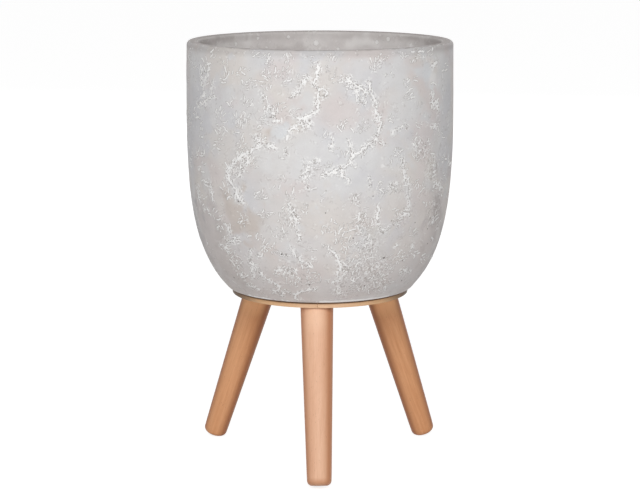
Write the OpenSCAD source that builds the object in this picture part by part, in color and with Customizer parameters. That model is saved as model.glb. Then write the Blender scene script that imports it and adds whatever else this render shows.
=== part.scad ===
// Round planter on a three-legged wooden stand.
// A cast egg-shaped pot rests on three thin pads on a round wooden plate. Each leg is turned and
// tapered, splays outwards, and is held to the plate by one countersunk screw and one dowel.
// Millimetres, +Z up. The origin is on the pot's axis, on the floor, and the front is towards -Y.

/* [Stand] */
// Height of the plate's underside above the floor
plate_under_z = 199; // [170:1:230]
// Radius of the plate with its edge band
plate_r = 104; // [103:0.5:112]
// Thickness of the plate
plate_t = 6; // [5.5:0.5:9]
// Thickness of the wood strip glued round the plate's edge
band_t = 1; // [0.6:0.1:2]
// Width of the gap where the strip's two ends meet
band_joint = 0.6; // [0.2:0.1:1.5]
// Direction of that joint, in degrees round the plate
band_joint_at = -91.6; // [-180:0.1:180]
// Radius of the hole in the middle of the plate, under the drain
plate_hole_r = 15; // [12:0.5:20]
// Height of the pads that the pot rests on
pad_t = 1; // [0.5:0.1:2]
// Radius of each pad
pad_r = 9; // [6:0.5:12]

/* [Legs] */
// Distance of each leg's axis from the middle, at the plate's underside
leg_top_at = 80.5; // [78:0.5:82]
// Distance of each leg's axis from the middle, carried on down to the floor
leg_floor_at = 151.3; // [140:0.1:156]
// Radius of a leg where its axis meets the plate
leg_top_r = 19; // [18:0.1:20]
// Radius of a leg at its foot
leg_foot_r = 14; // [12:0.1:16]
// Radius of the rounding round the foot's end
foot_round = 6; // [3:0.5:8]
// Directions of the legs' tops, in degrees: front, right and left
leg_at = [-92.6, 30, 150];
// How far each leg is turned about its screw, in degrees: front, right and left
leg_turn = [5, 1.9, 1.9];

/* [Pot] */
// Height of the pot
pot_h = 290; // [250:1:330]
// Outside radius at the rim
rim_r = 155.5; // [148:0.5:162]
// Radius of the flat base
base_r = 108.5; // [106:0.5:114]
// How far the wall's curve is drawn out and up from the base's edge
low_pull = [54.5, 52];
// How far the wall's curve is drawn out and down from the rim
high_pull = [1.5, 127];
// Thickness of the wall
wall_t = 14; // [11:0.5:16]
// Thickness of the floor
floor_t = 14; // [10:0.5:18]
// Rounding of the lip's two edges
lip_round = 4.5; // [2:0.5:5]
// Length of the blend round the base's edge
base_blend = 3; // [1:0.5:5]
// Length of the blend between wall and floor inside
floor_blend = 16; // [8:1:24]

/* [Drain] */
// Radius of the drain hole
drain_r = 10; // [8:0.5:11]
// Gap all round the plug in its hole
plug_gap = 0.3; // [0.3:0.05:0.6]
// How much narrower the plug is at its lower end
plug_taper = 0.7; // [0:0.1:1.5]
// Radius and thickness of the plug's flange
plug_flange = [17, 3];
// Rounding of the flange's upper edge
plug_round = 1.5; // [0.5:0.1:2]

/* [Fixings] */
// Distance of each screw from the middle of the plate
screw_at = 84; // [83:0.5:86]
// Radius of the screw's shank, an M6
screw_r = 3; // [3:0.5:3]
// Radius of the screw's countersunk head
screw_head_r = 6; // [5.5:0.1:6.5]
// Height of the head's cone
screw_head_h = 3.2; // [3:0.1:3.6]
// Length of the screw with its head
screw_l = 20; // [18:1:24]
// Size of the hexagon socket, across its flats, and its depth
screw_socket = [4, 2.2];
// Outside radius and length of the threaded insert
insert_size = [5, 15];
// Distance of each dowel from the middle of the plate
dowel_at = 69.5; // [68:0.5:71]
// Radius of the dowel
dowel_r = 2.5; // [2:0.5:2.5]
// How far the dowel goes up into the plate and down into the leg
dowel_reach = [4, 10];
// Glue line or play round everything that is let into a hole
fit_gap = 0.05; // [0.02:0.01:0.1]

/* [Hidden] */
$fn = 96;
CURVE_STEPS = 40;
BLEND_STEPS = 6;
ARC_STEPS = 8;
EDGE_EASE = 0.5;
BIG = 400;

FRONT = 0;
RIGHT = 1;
LEFT = 2;

plate_top_z = plate_under_z + plate_t;
pot_z = plate_top_z + pad_t;
rim_z = pot_z + pot_h;
floor_z = pot_z + floor_t;

splay = atan((leg_floor_at - leg_top_at) / plate_under_z);
// Height of the centre of the foot's rounding, so that its lowest point touches the floor
foot_centre_z = foot_round + (leg_foot_r - foot_round) * sin(splay);
leg_l = (plate_under_z - foot_centre_z) / cos(splay) + foot_round;
leg_growth = (leg_top_r - leg_foot_r) / leg_l;
// The blank runs on past the plate, and is cut off level with it
leg_spare = 12;

pad_at = 84;
pad_angles = [-30, 90, 210];

CEMENT = [0.72, 0.71, 0.70];
BEECH = [0.80, 0.60, 0.44];
PALE_BEECH = [0.86, 0.68, 0.52];
STEEL = [0.66, 0.67, 0.69];
BRASS = [0.78, 0.66, 0.38];
RUBBER = [0.16, 0.16, 0.17];

// Points on curves ---------------------------------------------------------------------------

function cubic(a, b, c, d, s) =
    pow(1 - s, 3) * a + 3 * pow(1 - s, 2) * s * b + 3 * (1 - s) * s * s * c + pow(s, 3) * d;
function cubic_slope(a, b, c, d, s) =
    3 * pow(1 - s, 2) * (b - a) + 6 * (1 - s) * s * (c - b) + 3 * s * s * (d - c);
function quadratic(a, b, c, s) = pow(1 - s, 2) * a + 2 * (1 - s) * s * b + s * s * c;

// The outside of the pot's wall, from the base's edge (s = 0) to the start of the lip (s = 1)
wall_a = [base_r, pot_z];
wall_b = wall_a + low_pull;
wall_d = [rim_r, rim_z - lip_round];
wall_c = wall_d + [high_pull[0], -high_pull[1]];
function outside(s) = cubic(wall_a, wall_b, wall_c, wall_d, s);
function wall_normal(s) =
    let (v = cubic_slope(wall_a, wall_b, wall_c, wall_d, s)) [v[1], -v[0]] / norm(v);
function inside(s) = outside(s) - wall_t * wall_normal(s);

// Where a curve of the wall reaches a height, found by halving
function s_outside(z, lo = 0, hi = 1, n = 24) =
    let (m = (lo + hi) / 2)
    n == 0 ? m : outside(m)[1] < z ? s_outside(z, m, hi, n - 1) : s_outside(z, lo, m, n - 1);
function s_inside(z, lo = 0, hi = 1, n = 24) =
    let (m = (lo + hi) / 2)
    n == 0 ? m : inside(m)[1] < z ? s_inside(z, m, hi, n - 1) : s_inside(z, lo, m, n - 1);

// Pot ----------------------------------------------------------------------------------------

function pot_base_points() =
    let (
        corner = wall_a,
        from = [base_r - base_blend, pot_z],
        to = outside(s_outside(pot_z + base_blend * 0.7))
    )
    [for (i = [0:BLEND_STEPS]) quadratic(from, corner, to, i / BLEND_STEPS)];

function pot_outside_points() =
    let (start = s_outside(pot_z + base_blend * 0.7))
    [for (i = [1:CURVE_STEPS]) outside(start + (1 - start) * i / CURVE_STEPS)];

function pot_lip_points() =
    let (
        outer = [rim_r - lip_round, rim_z - lip_round],
        inner = [rim_r - wall_t + lip_round, rim_z - lip_round]
    )
    concat(
        [for (i = [1:ARC_STEPS]) let (t = 90 * i / ARC_STEPS) outer + lip_round * [cos(t), sin(t)]],
        [for (i = [0:ARC_STEPS]) let (t = 90 + 90 * i / ARC_STEPS) inner + lip_round * [cos(t), sin(t)]]
    );

function pot_inside_points() =
    let (end = s_inside(floor_z + floor_blend * 0.7))
    [for (i = [1:CURVE_STEPS]) inside(1 - (1 - end) * i / CURVE_STEPS)];

function pot_floor_points() =
    let (
        corner = [inside(s_inside(floor_z))[0], floor_z],
        from = inside(s_inside(floor_z + floor_blend * 0.7)),
        to = corner - [floor_blend, 0]
    )
    [for (i = [1:BLEND_STEPS]) quadratic(from, corner, to, i / BLEND_STEPS)];

module pot() {
    color(CEMENT)
    rotate_extrude()
    polygon(concat(
        [[drain_r, pot_z]],
        pot_base_points(),
        pot_outside_points(),
        pot_lip_points(),
        pot_inside_points(),
        pot_floor_points(),
        [[drain_r, floor_z]]
    ));
}

module drain_plug() {
    shank_r = drain_r - plug_gap;
    flange_r = plug_flange[0];
    flange_z = floor_z + plug_flange[1];
    edge = [flange_r - plug_round, flange_z - plug_round];
    color(RUBBER)
    rotate_extrude()
    polygon(concat(
        [[0, pot_z + 1], [shank_r - plug_taper, pot_z + 1], [shank_r, floor_z], [flange_r, floor_z]],
        [for (i = [0:ARC_STEPS]) let (t = 90 * i / ARC_STEPS) edge + plug_round * [cos(t), sin(t)]],
        [[0, flange_z]]
    ));
}

// Stand --------------------------------------------------------------------------------------

module around(angle, distance) {
    rotate([0, 0, angle]) translate([distance, 0, 0]) children();
}

module plate() {
    core_r = plate_r - band_t - fit_gap;
    sink_r = screw_head_r + fit_gap;
    through_r = screw_r + 0.3;
    color(PALE_BEECH)
    difference() {
        translate([0, 0, plate_under_z]) cylinder(h = plate_t, r = core_r);
        translate([0, 0, plate_under_z - 1]) cylinder(h = plate_t + 2, r = plate_hole_r);
        for (a = leg_at) {
            around(a, screw_at) {
                translate([0, 0, plate_under_z - 1]) cylinder(h = plate_t + 2, r = through_r);
                translate([0, 0, plate_top_z - screw_head_h])
                    cylinder(h = screw_head_h, r1 = screw_r + fit_gap, r2 = sink_r);
            }
            around(a, dowel_at)
                translate([0, 0, plate_under_z - 1])
                    cylinder(h = dowel_reach[0] + 1 + fit_gap, r = dowel_r + fit_gap);
        }
    }
}

module edge_band() {
    inner_r = plate_r - band_t;
    color(PALE_BEECH)
    difference() {
        rotate_extrude()
        polygon([
            [inner_r, plate_under_z],
            [plate_r - EDGE_EASE, plate_under_z],
            [plate_r, plate_under_z + EDGE_EASE],
            [plate_r, plate_top_z - EDGE_EASE],
            [plate_r - EDGE_EASE, plate_top_z],
            [inner_r, plate_top_z]
        ]);
        around(band_joint_at, plate_r)
            translate([-5, -band_joint / 2, plate_under_z - 1]) cube([10, band_joint, plate_t + 2]);
    }
}

// A leg's blank lies along +Z from its foot at the origin, and grows thicker upwards
module leg_blank() {
    h = leg_l + leg_spare;
    top_r = leg_foot_r + leg_growth * h;
    rotate_extrude()
    polygon(concat(
        [[0, 0]],
        [for (i = [0:ARC_STEPS])
            let (t = -90 + 90 * i / ARC_STEPS)
            [leg_foot_r - foot_round, foot_round] + foot_round * [cos(t), sin(t)]],
        [[top_r, h], [0, h]]
    ));
}

// The direction in which a leg splays differs a little from the direction of its place on the plate
module on_leg_top(i) {
    around(leg_at[i], leg_top_at) rotate([0, 0, leg_turn[i]]) children();
}

module leg(i) {
    color(BEECH)
    difference() {
        on_leg_top(i)
            translate([0, 0, plate_under_z]) rotate([0, -splay, 0]) translate([0, 0, -leg_l]) leg_blank();
        translate([-BIG / 2, -BIG / 2, plate_under_z]) cube([BIG, BIG, BIG]);
        around(leg_at[i], screw_at)
            translate([0, 0, plate_under_z - screw_l - 2])
                cylinder(h = screw_l + 3, r = insert_size[0] + fit_gap);
        around(leg_at[i], dowel_at)
            translate([0, 0, plate_under_z - dowel_reach[1] - fit_gap])
                cylinder(h = dowel_reach[1] + 1, r = dowel_r + fit_gap);
    }
}

module insert(i) {
    color(BRASS)
    around(leg_at[i], screw_at)
    translate([0, 0, plate_under_z - 0.5 - insert_size[1]])
    difference() {
        cylinder(h = insert_size[1], r = insert_size[0]);
        translate([0, 0, -1]) cylinder(h = insert_size[1] + 2, r = screw_r + fit_gap);
    }
}

module screw(i) {
    color(STEEL)
    around(leg_at[i], screw_at)
    difference() {
        union() {
            translate([0, 0, plate_top_z - screw_head_h])
                cylinder(h = screw_head_h, r1 = screw_r, r2 = screw_head_r);
            translate([0, 0, plate_top_z - screw_l])
                cylinder(h = screw_l - screw_head_h, r = screw_r);
        }
        translate([0, 0, plate_top_z - screw_socket[1]])
            cylinder(h = screw_socket[1] + 1, r = screw_socket[0] / 2 / cos(30), $fn = 6);
    }
}

module dowel(i) {
    color(PALE_BEECH)
    around(leg_at[i], dowel_at)
    translate([0, 0, plate_under_z - dowel_reach[1]])
    cylinder(h = dowel_reach[0] + dowel_reach[1], r = dowel_r);
}

module pad(angle) {
    color(RUBBER)
    around(angle, pad_at)
    translate([0, 0, plate_top_z])
    cylinder(h = pad_t, r = pad_r);
}

pot();
drain_plug();
plate();
edge_band();
leg(FRONT);  // leg_front
leg(RIGHT);  // leg_right
leg(LEFT);  // leg_left
insert(FRONT);  // insert_front
insert(RIGHT);  // insert_right
insert(LEFT);  // insert_left
screw(FRONT);  // screw_front
screw(RIGHT);  // screw_right
screw(LEFT);  // screw_left
dowel(FRONT);  // dowel_front
dowel(RIGHT);  // dowel_right
dowel(LEFT);  // dowel_left
pad(pad_angles[0]);  // pad_right
pad(pad_angles[1]);  // pad_back
pad(pad_angles[2]);  // pad_left
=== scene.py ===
"""Dresses a round cement planter on its three-legged wooden stand.

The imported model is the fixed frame. The pot, the plug, the legs, the edge band and the pads are
modelled here at the sizes of their solids; the plate and the fixings keep their own meshes and
get their finishes. Shapes are worked in millimetres and turned into metres when they are done.
"""

import logging
import math
import random
from dataclasses import dataclass, field
from enum import Enum
from typing import Callable, Iterable, NamedTuple, Sequence, Union

import bmesh
import bpy
from mathutils import Color, Matrix, Vector, kdtree, noise


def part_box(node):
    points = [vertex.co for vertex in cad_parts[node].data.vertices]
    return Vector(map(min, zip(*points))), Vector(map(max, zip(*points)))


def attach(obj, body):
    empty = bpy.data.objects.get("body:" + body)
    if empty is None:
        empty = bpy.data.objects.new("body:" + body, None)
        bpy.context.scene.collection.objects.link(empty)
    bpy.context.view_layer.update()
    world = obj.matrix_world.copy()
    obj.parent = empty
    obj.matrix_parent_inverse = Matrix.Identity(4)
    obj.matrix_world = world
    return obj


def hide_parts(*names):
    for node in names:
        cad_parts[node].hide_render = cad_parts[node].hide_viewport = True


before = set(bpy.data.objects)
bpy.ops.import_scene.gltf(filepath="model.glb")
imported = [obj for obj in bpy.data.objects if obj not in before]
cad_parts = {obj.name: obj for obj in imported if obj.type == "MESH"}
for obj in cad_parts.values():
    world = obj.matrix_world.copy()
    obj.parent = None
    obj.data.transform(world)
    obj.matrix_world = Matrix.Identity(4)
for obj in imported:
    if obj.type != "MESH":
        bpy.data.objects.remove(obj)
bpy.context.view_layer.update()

LOG = logging.getLogger("planter")
MM = 0.001
TO_METRES = Matrix.Scale(MM, 4)
WELD = 1e-4
UP = Vector((0.0, 0.0, 1.0))
STRAND_SLOTS = 6
NOWHERE = Vector((9000.0, 9000.0, 9000.0))

Point = tuple[float, float]
Rgb = tuple[float, float, float]
Material = bpy.types.Material
Piece = bpy.types.Object
Socket = bpy.types.NodeSocket
Input = Union[float, tuple, Socket]


class Body(Enum):
    """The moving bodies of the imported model."""

    STAND = "stand"
    PLANTER = "planter"
    PLUG = "plug"


class Side(Enum):
    """Where a leg stands: its name, and the direction of its top and of its splay in degrees."""

    FRONT = ("front", -92.6, 5.0)
    RIGHT = ("right", 30.0, 1.9)
    LEFT = ("left", 150.0, 1.9)

    @property
    def label(self) -> str:
        """The word that ends the names of this leg and its fixings."""
        return self.value[0]

    @property
    def place(self) -> float:
        """Direction of the leg's top from the middle of the plate, in radians."""
        return math.radians(self.value[1])

    @property
    def turn(self) -> float:
        """How far the leg is turned about its own screw, in radians."""
        return math.radians(self.value[2])


class PadPlace(Enum):
    """Where a pad lies on the plate: the end of its name and its direction in degrees."""

    RIGHT = ("right", -30.0)
    BACK = ("back", 90.0)
    LEFT = ("left", 210.0)


def srgb(red: int, green: int, blue: int) -> Rgb:
    """Turns a screen colour, 0 to 255, into a linear one, 0 to 1."""
    linear = Color((red / 255, green / 255, blue / 255)).from_srgb_to_scene_linear()
    return (linear.r, linear.g, linear.b)


def blend(low: Sequence[float], high: Sequence[float], share: float) -> Rgb:
    """Mixes two colours, with share 0 for the first and 1 for the second."""
    return tuple(a + (b - a) * share for a, b in zip(low, high))


def ease(value: float, low: float, high: float) -> float:
    """Rises smoothly from 0 at low to 1 at high; high may be the smaller of the two."""
    share = min(1.0, max(0.0, (value - low) / (high - low)))
    return share * share * (3 - 2 * share)


def curve(points: Sequence[Point], share: float) -> Point:
    """Finds a point on a Bezier curve of any degree.

    Args:
        points: The curve's control points.
        share: How far along the curve the point lies, 0 to 1.

    Returns:
        The point.
    """
    row = [Vector(point) for point in points]
    while len(row) > 1:
        row = [a.lerp(b, share) for a, b in zip(row, row[1:])]
    return (row[0][0], row[0][1])


def arc(centre: Point, radius: float, start: float, end: float, steps: int) -> list[Point]:
    """The points of an arc in so many chords, between two directions in degrees."""
    angles = [math.radians(start + (end - start) * i / steps) for i in range(steps + 1)]
    return [(centre[0] + radius * math.cos(a), centre[1] + radius * math.sin(a)) for a in angles]


def outwards(point: Vector) -> Vector:
    """The level direction from the Z axis through a point."""
    return Vector((point.x, point.y, 0.0)).normalized()


# Shaping a piece ------------


def add(name: str, data: bpy.types.ID) -> Piece:
    """Adds an object to the scene, at the origin.

    Args:
        name: Its name.
        data: The mesh, lamp or camera that it shows.

    Returns:
        The object.
    """
    made = bpy.data.objects.new(name, data)
    bpy.context.scene.collection.objects.link(made)
    return made


def as_mesh(bm: bmesh.types.BMesh, name: str) -> bpy.types.Mesh:
    """Turns a shape into a mesh.

    Args:
        bm: The shape, which is freed.
        name: The name of the mesh.

    Returns:
        The mesh.
    """
    mesh = bpy.data.meshes.new(name)
    bm.to_mesh(mesh)
    bm.free()
    return mesh


class Workpiece:
    """One piece while it is shaped, in millimetres."""

    def __init__(self, name: str) -> None:
        """Starts an empty piece of that name."""
        self.name = name
        self.bm = bmesh.new()

    def spin(self, profile: Sequence[Point], steps: int, closed: bool = False) -> None:
        """Turns a profile of (radius, height) points all the way round the Z axis.

        Args:
            profile: The points, in order.
            steps: How many flats the turn is cut into.
            closed: Whether the last point joins the first.
        """
        verts = [self.bm.verts.new((r, 0.0, z)) for r, z in profile]
        pairs = list(zip(verts, verts[1:])) + ([(verts[-1], verts[0])] if closed else [])
        edges = [self.bm.edges.new(pair) for pair in pairs]
        bmesh.ops.spin(self.bm, geom=verts + edges, cent=(0, 0, 0), axis=UP, angle=math.tau,
                       steps=steps, use_merge=True)
        self.weld()

    def weld(self) -> None:
        """Merges points that coincide and points every face outwards."""
        bmesh.ops.remove_doubles(self.bm, verts=self.bm.verts, dist=WELD)
        bmesh.ops.recalc_face_normals(self.bm, faces=self.bm.faces)

    def cut_above(self, height: float) -> None:
        """Cuts the piece off level and closes it there.

        Args:
            height: Height of the cut in millimetres.
        """
        everything = list(self.bm.verts) + list(self.bm.edges) + list(self.bm.faces)
        cut = bmesh.ops.bisect_plane(self.bm, geom=everything, dist=WELD, plane_co=UP * height,
                                     plane_no=UP, clear_outer=True)
        rim = [item for item in cut["geom_cut"] if isinstance(item, bmesh.types.BMEdge)]
        bmesh.ops.holes_fill(self.bm, edges=rim)
        self.weld()

    def round_edges(self, chosen: Callable[[bmesh.types.BMEdge], bool], width: float,
                    segments: int) -> None:
        """Rounds the edges that a test picks out.

        Args:
            chosen: The test.
            width: How far back from the edge the rounding starts, in millimetres.
            segments: How many flats it has.
        """
        bmesh.ops.bevel(self.bm, geom=[edge for edge in self.bm.edges if chosen(edge)],
                        offset=width, offset_type="OFFSET", segments=segments, profile=0.5,
                        affect="EDGES", clamp_overlap=True, material=-1)

    def place(self, matrix: Matrix) -> None:
        """Moves the whole piece by a matrix in millimetres."""
        bmesh.ops.transform(self.bm, matrix=matrix, verts=self.bm.verts)

    def finish(self, material: Material, smooth_below: float = 35.0) -> Piece:
        """Turns the piece into an object in metres at the origin.

        Args:
            material: The finish of the whole piece.
            smooth_below: Edges sharper than this many degrees stay crisp.

        Returns:
            The object, linked to the scene.
        """
        self.place(TO_METRES)
        mesh = as_mesh(self.bm, self.name)
        mesh.shade_smooth()
        mesh.set_sharp_from_angle(angle=math.radians(smooth_below))
        mesh.materials.append(material)
        return add(self.name, mesh)


def bore(piece: Piece, holes: Iterable[tuple[Vector, float, float]]) -> None:
    """Drills upright holes down into a piece.

    Args:
        piece: The object to be drilled; its mesh is replaced.
        holes: Each hole's top in metres, its radius and its depth in millimetres.
    """
    spare = 1.0
    for top, radius, depth in holes:
        drill = bmesh.new()
        centre = top + UP * ((spare - depth) / 2 * MM)
        bmesh.ops.create_cone(drill, cap_ends=True, segments=40, radius1=radius * MM,
                              radius2=radius * MM, depth=(depth + spare) * MM,
                              matrix=Matrix.Translation(centre))
        mesh = as_mesh(drill, "drill")
        cutter = add("drill", mesh)
        cut = piece.modifiers.new("bore", "BOOLEAN")
        cut.operation = "DIFFERENCE"
        cut.solver = "EXACT"
        cut.object = cutter
        evaluated = piece.evaluated_get(bpy.context.evaluated_depsgraph_get())
        drilled = bpy.data.meshes.new_from_object(evaluated)
        piece.modifiers.clear()
        old, piece.data = piece.data, drilled
        drilled.name = piece.name
        bpy.data.meshes.remove(old)
        bpy.data.objects.remove(cutter)
        bpy.data.meshes.remove(mesh)


def fit(piece: Piece, body: Body, slot: str, *nodes: str) -> Piece:
    """Puts a finished piece on its body in place of its solids.

    Args:
        piece: The object.
        body: The body that it moves with.
        slot: The material slot that its finish belongs to; not used.
        *nodes: The solids that it stands for.

    Returns:
        The same object.
    """
    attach(piece, body.value)
    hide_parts(*nodes)
    LOG.info("%s: %d faces on %s", piece.name, len(piece.data.polygons), body.value)
    return piece


def dress(node: str, material: Material) -> None:
    """Gives a solid that stays in view its finish.

    Args:
        node: The solid's name.
        material: The finish.
    """
    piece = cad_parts[node]
    piece.data.materials.clear()
    piece.data.materials.append(material)
    LOG.info("%s: keeps its own mesh, in %s", node, material.name)


# Finishes ------------


class Graph:
    """Builds the nodes of a material or of the world."""

    def __init__(self, name: str, kind: str = "materials") -> None:
        """Starts with no nodes.

        Args:
            name: The name of the new material or world.
            kind: Which of Blender's lists it is added to.
        """
        self.owner = getattr(bpy.data, kind).new(name)
        self.owner.use_nodes = True
        self.tree = self.owner.node_tree
        self.tree.nodes.clear()

    def node(self, kind: str, inputs: dict[Union[str, int], Input],
             **settings: object) -> bpy.types.Node:
        """Adds a node.

        Args:
            kind: Blender's name for its type, without "ShaderNode".
            inputs: A value or a socket for each input, by name or number.
            **settings: The node's own properties.

        Returns:
            The node.
        """
        made = self.tree.nodes.new("ShaderNode" + kind)
        for key, value in settings.items():
            setattr(made, key, value)
        for key, value in inputs.items():
            if isinstance(value, Socket):
                self.tree.links.new(value, made.inputs[key])
            elif isinstance(value, tuple) and made.inputs[key].type == "RGBA":
                made.inputs[key].default_value = (*value[:3], 1.0)
            else:
                made.inputs[key].default_value = value
        return made

    def here(self) -> Socket:
        """The point in the object's own coordinates, in metres."""
        return self.node("TexCoord", {}).outputs["Object"]

    def strip(self) -> Socket:
        """The point on the piece's UV map, in metres along and across it."""
        return self.node("UVMap", {}, uv_map="strip").outputs["UV"]

    def kept(self, name: str) -> bpy.types.bpy_prop_collection:
        """Reads what the mesh keeps under a name: its Fac, Vector, Color and Alpha."""
        return self.node("Attribute", {}, attribute_name=name).outputs

    def mapping(self, point: Input, scale: Sequence[float], turn: Sequence[float] = (0, 0, 0),
                move: Sequence[float] = (0, 0, 0)) -> Socket:
        """Stretches, turns (in radians) and moves the coordinates of a pattern."""
        return self.node("Mapping", {"Vector": point, "Location": tuple(move),
                                     "Rotation": tuple(turn), "Scale": tuple(scale)}).outputs[0]

    def noise(self, point: Input, size: float, detail: float = 2.0, rough: float = 0.5,
              colour: bool = False) -> Socket:
        """Makes soft variation about 0.5.

        Args:
            point: The coordinates.
            size: The size of its features in millimetres.
            detail: How many finer layers it has.
            rough: How strong each of them is.
            colour: Whether three independent values are wanted.

        Returns:
            The value or values.
        """
        made = self.node("TexNoise", {"Vector": point, "Scale": 1 / (size * MM), "Detail": detail,
                                      "Roughness": rough})
        return made.outputs[1 if colour else 0]

    def cells(self, point: Input, size: float, feature: str = "F1") -> Socket:
        """The distance in random cells of so many millimetres, with 1 for a cell's size."""
        return self.node("TexVoronoi", {"Vector": point, "Scale": 1 / (size * MM)},
                         feature=feature).outputs["Distance"]

    def maths(self, operation: str, first: Input, second: Input = 0.0,
              third: Input = 0.0) -> Socket:
        """One sum on numbers."""
        return self.node("Math", {0: first, 1: second, 2: third}, operation=operation).outputs[0]

    def times(self, first: Input, second: Input) -> Socket:
        """The product of two numbers."""
        return self.maths("MULTIPLY", first, second)

    def scaled(self, value: Input, factor: Input, shift: Input) -> Socket:
        """A number times a factor, plus a shift."""
        return self.maths("MULTIPLY_ADD", value, factor, shift)

    def most(self, first: Input, second: Input) -> Socket:
        """The larger of two numbers."""
        return self.maths("MAXIMUM", first, second)

    def less(self, first: Input, second: Input) -> Socket:
        """The first number less the second."""
        return self.maths("SUBTRACT", first, second)

    def part(self, point: Input, axis: int) -> Socket:
        """One coordinate of a point."""
        return self.node("SeparateXYZ", {0: point}).outputs[axis]

    def vector(self, operation: str, first: Input, second: Input = (0.0, 0.0, 0.0),
               scale: Input = 1.0, part: int = 0) -> Socket:
        """One sum on vectors; part 1 of the result is its number."""
        inputs = {0: first, "Scale": scale} if operation == "SCALE" else {0: first, 1: second}
        return self.node("VectorMath", inputs, operation=operation).outputs[part]

    def ramp(self, value: Input, start: Input, end: Input, before: float,
             after: float) -> Socket:
        """Leads smoothly from one level to another.

        Args:
            value: The number that it follows.
            start: That number where it starts.
            end: That number where it ends.
            before: The level up to the start.
            after: The level from the end on.

        Returns:
            The level.
        """
        return self.node("MapRange", {"Value": value, "From Min": start, "From Max": end,
                                      "To Min": before, "To Max": after},
                         interpolation_type="SMOOTHSTEP").outputs[0]

    def step(self, value: Input, low: Input, high: Input, to: float = 1.0) -> Socket:
        """Rises smoothly from 0 where the value is low to `to` where it is high."""
        return self.ramp(value, low, high, 0.0, to)

    def fade(self, value: Input, full: Input, none: Input, top: float = 1.0) -> Socket:
        """Falls smoothly from `top` where the value is full to 0 where it is none."""
        return self.ramp(value, full, none, top, 0.0)

    def mix(self, share: Input, first: Input, second: Input) -> Socket:
        """Mixes two colours."""
        return self.node("Mix", {0: share, 6: first, 7: second}, data_type="RGBA").outputs[2]

    def bump(self, height: Input, depth: float, strength: float = 1.0) -> Socket:
        """Turns a height from 0 to 1 into a relief of so many millimetres."""
        return self.node("Bump", {"Strength": strength, "Distance": depth * MM,
                                  "Height": height}).outputs[0]

    def surface(self, **inputs: Input) -> Material:
        """Closes the material with one shader.

        Args:
            **inputs: The shader's sockets, with _ for a space.

        Returns:
            The finished material.
        """
        named = {key.replace("_", " "): value for key, value in inputs.items()}
        shader = self.node("BsdfPrincipled", named)
        self.node("OutputMaterial", {"Surface": shader.outputs[0]})
        return self.owner


class Tone(Enum):
    """The tints that the cement's skin drifts between, and the painted shade and light laid over
    it.
    """

    COOL = srgb(214, 213, 215)
    PALE = srgb(221, 220, 220)
    CREAM = srgb(220, 215, 211)
    PINK = srgb(217, 209, 207)
    GREEN = srgb(212, 211, 207)
    BROWN = srgb(202, 192, 184)
    GREY = srgb(206, 200, 199)
    WARM = srgb(216, 208, 204)
    # Painted shade below the rim and along the lip's inner edge
    LIP = srgb(160, 153, 150)
    INNER = srgb(210, 205, 203)
    INNER_PALE = srgb(219, 215, 213)
    # Pale patches, those near the rim inside laid as painted light; damp patches, those near the
    # rim inside laid as painted shade
    SMEAR = srgb(230, 227, 225)
    DAMP = srgb(192, 186, 184)
    # Painted shade on the pot's two sides
    SLATE = srgb(176, 176, 179)
    MIST = srgb(220, 223, 226)
    CHALK = srgb(236, 235, 234)


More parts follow.
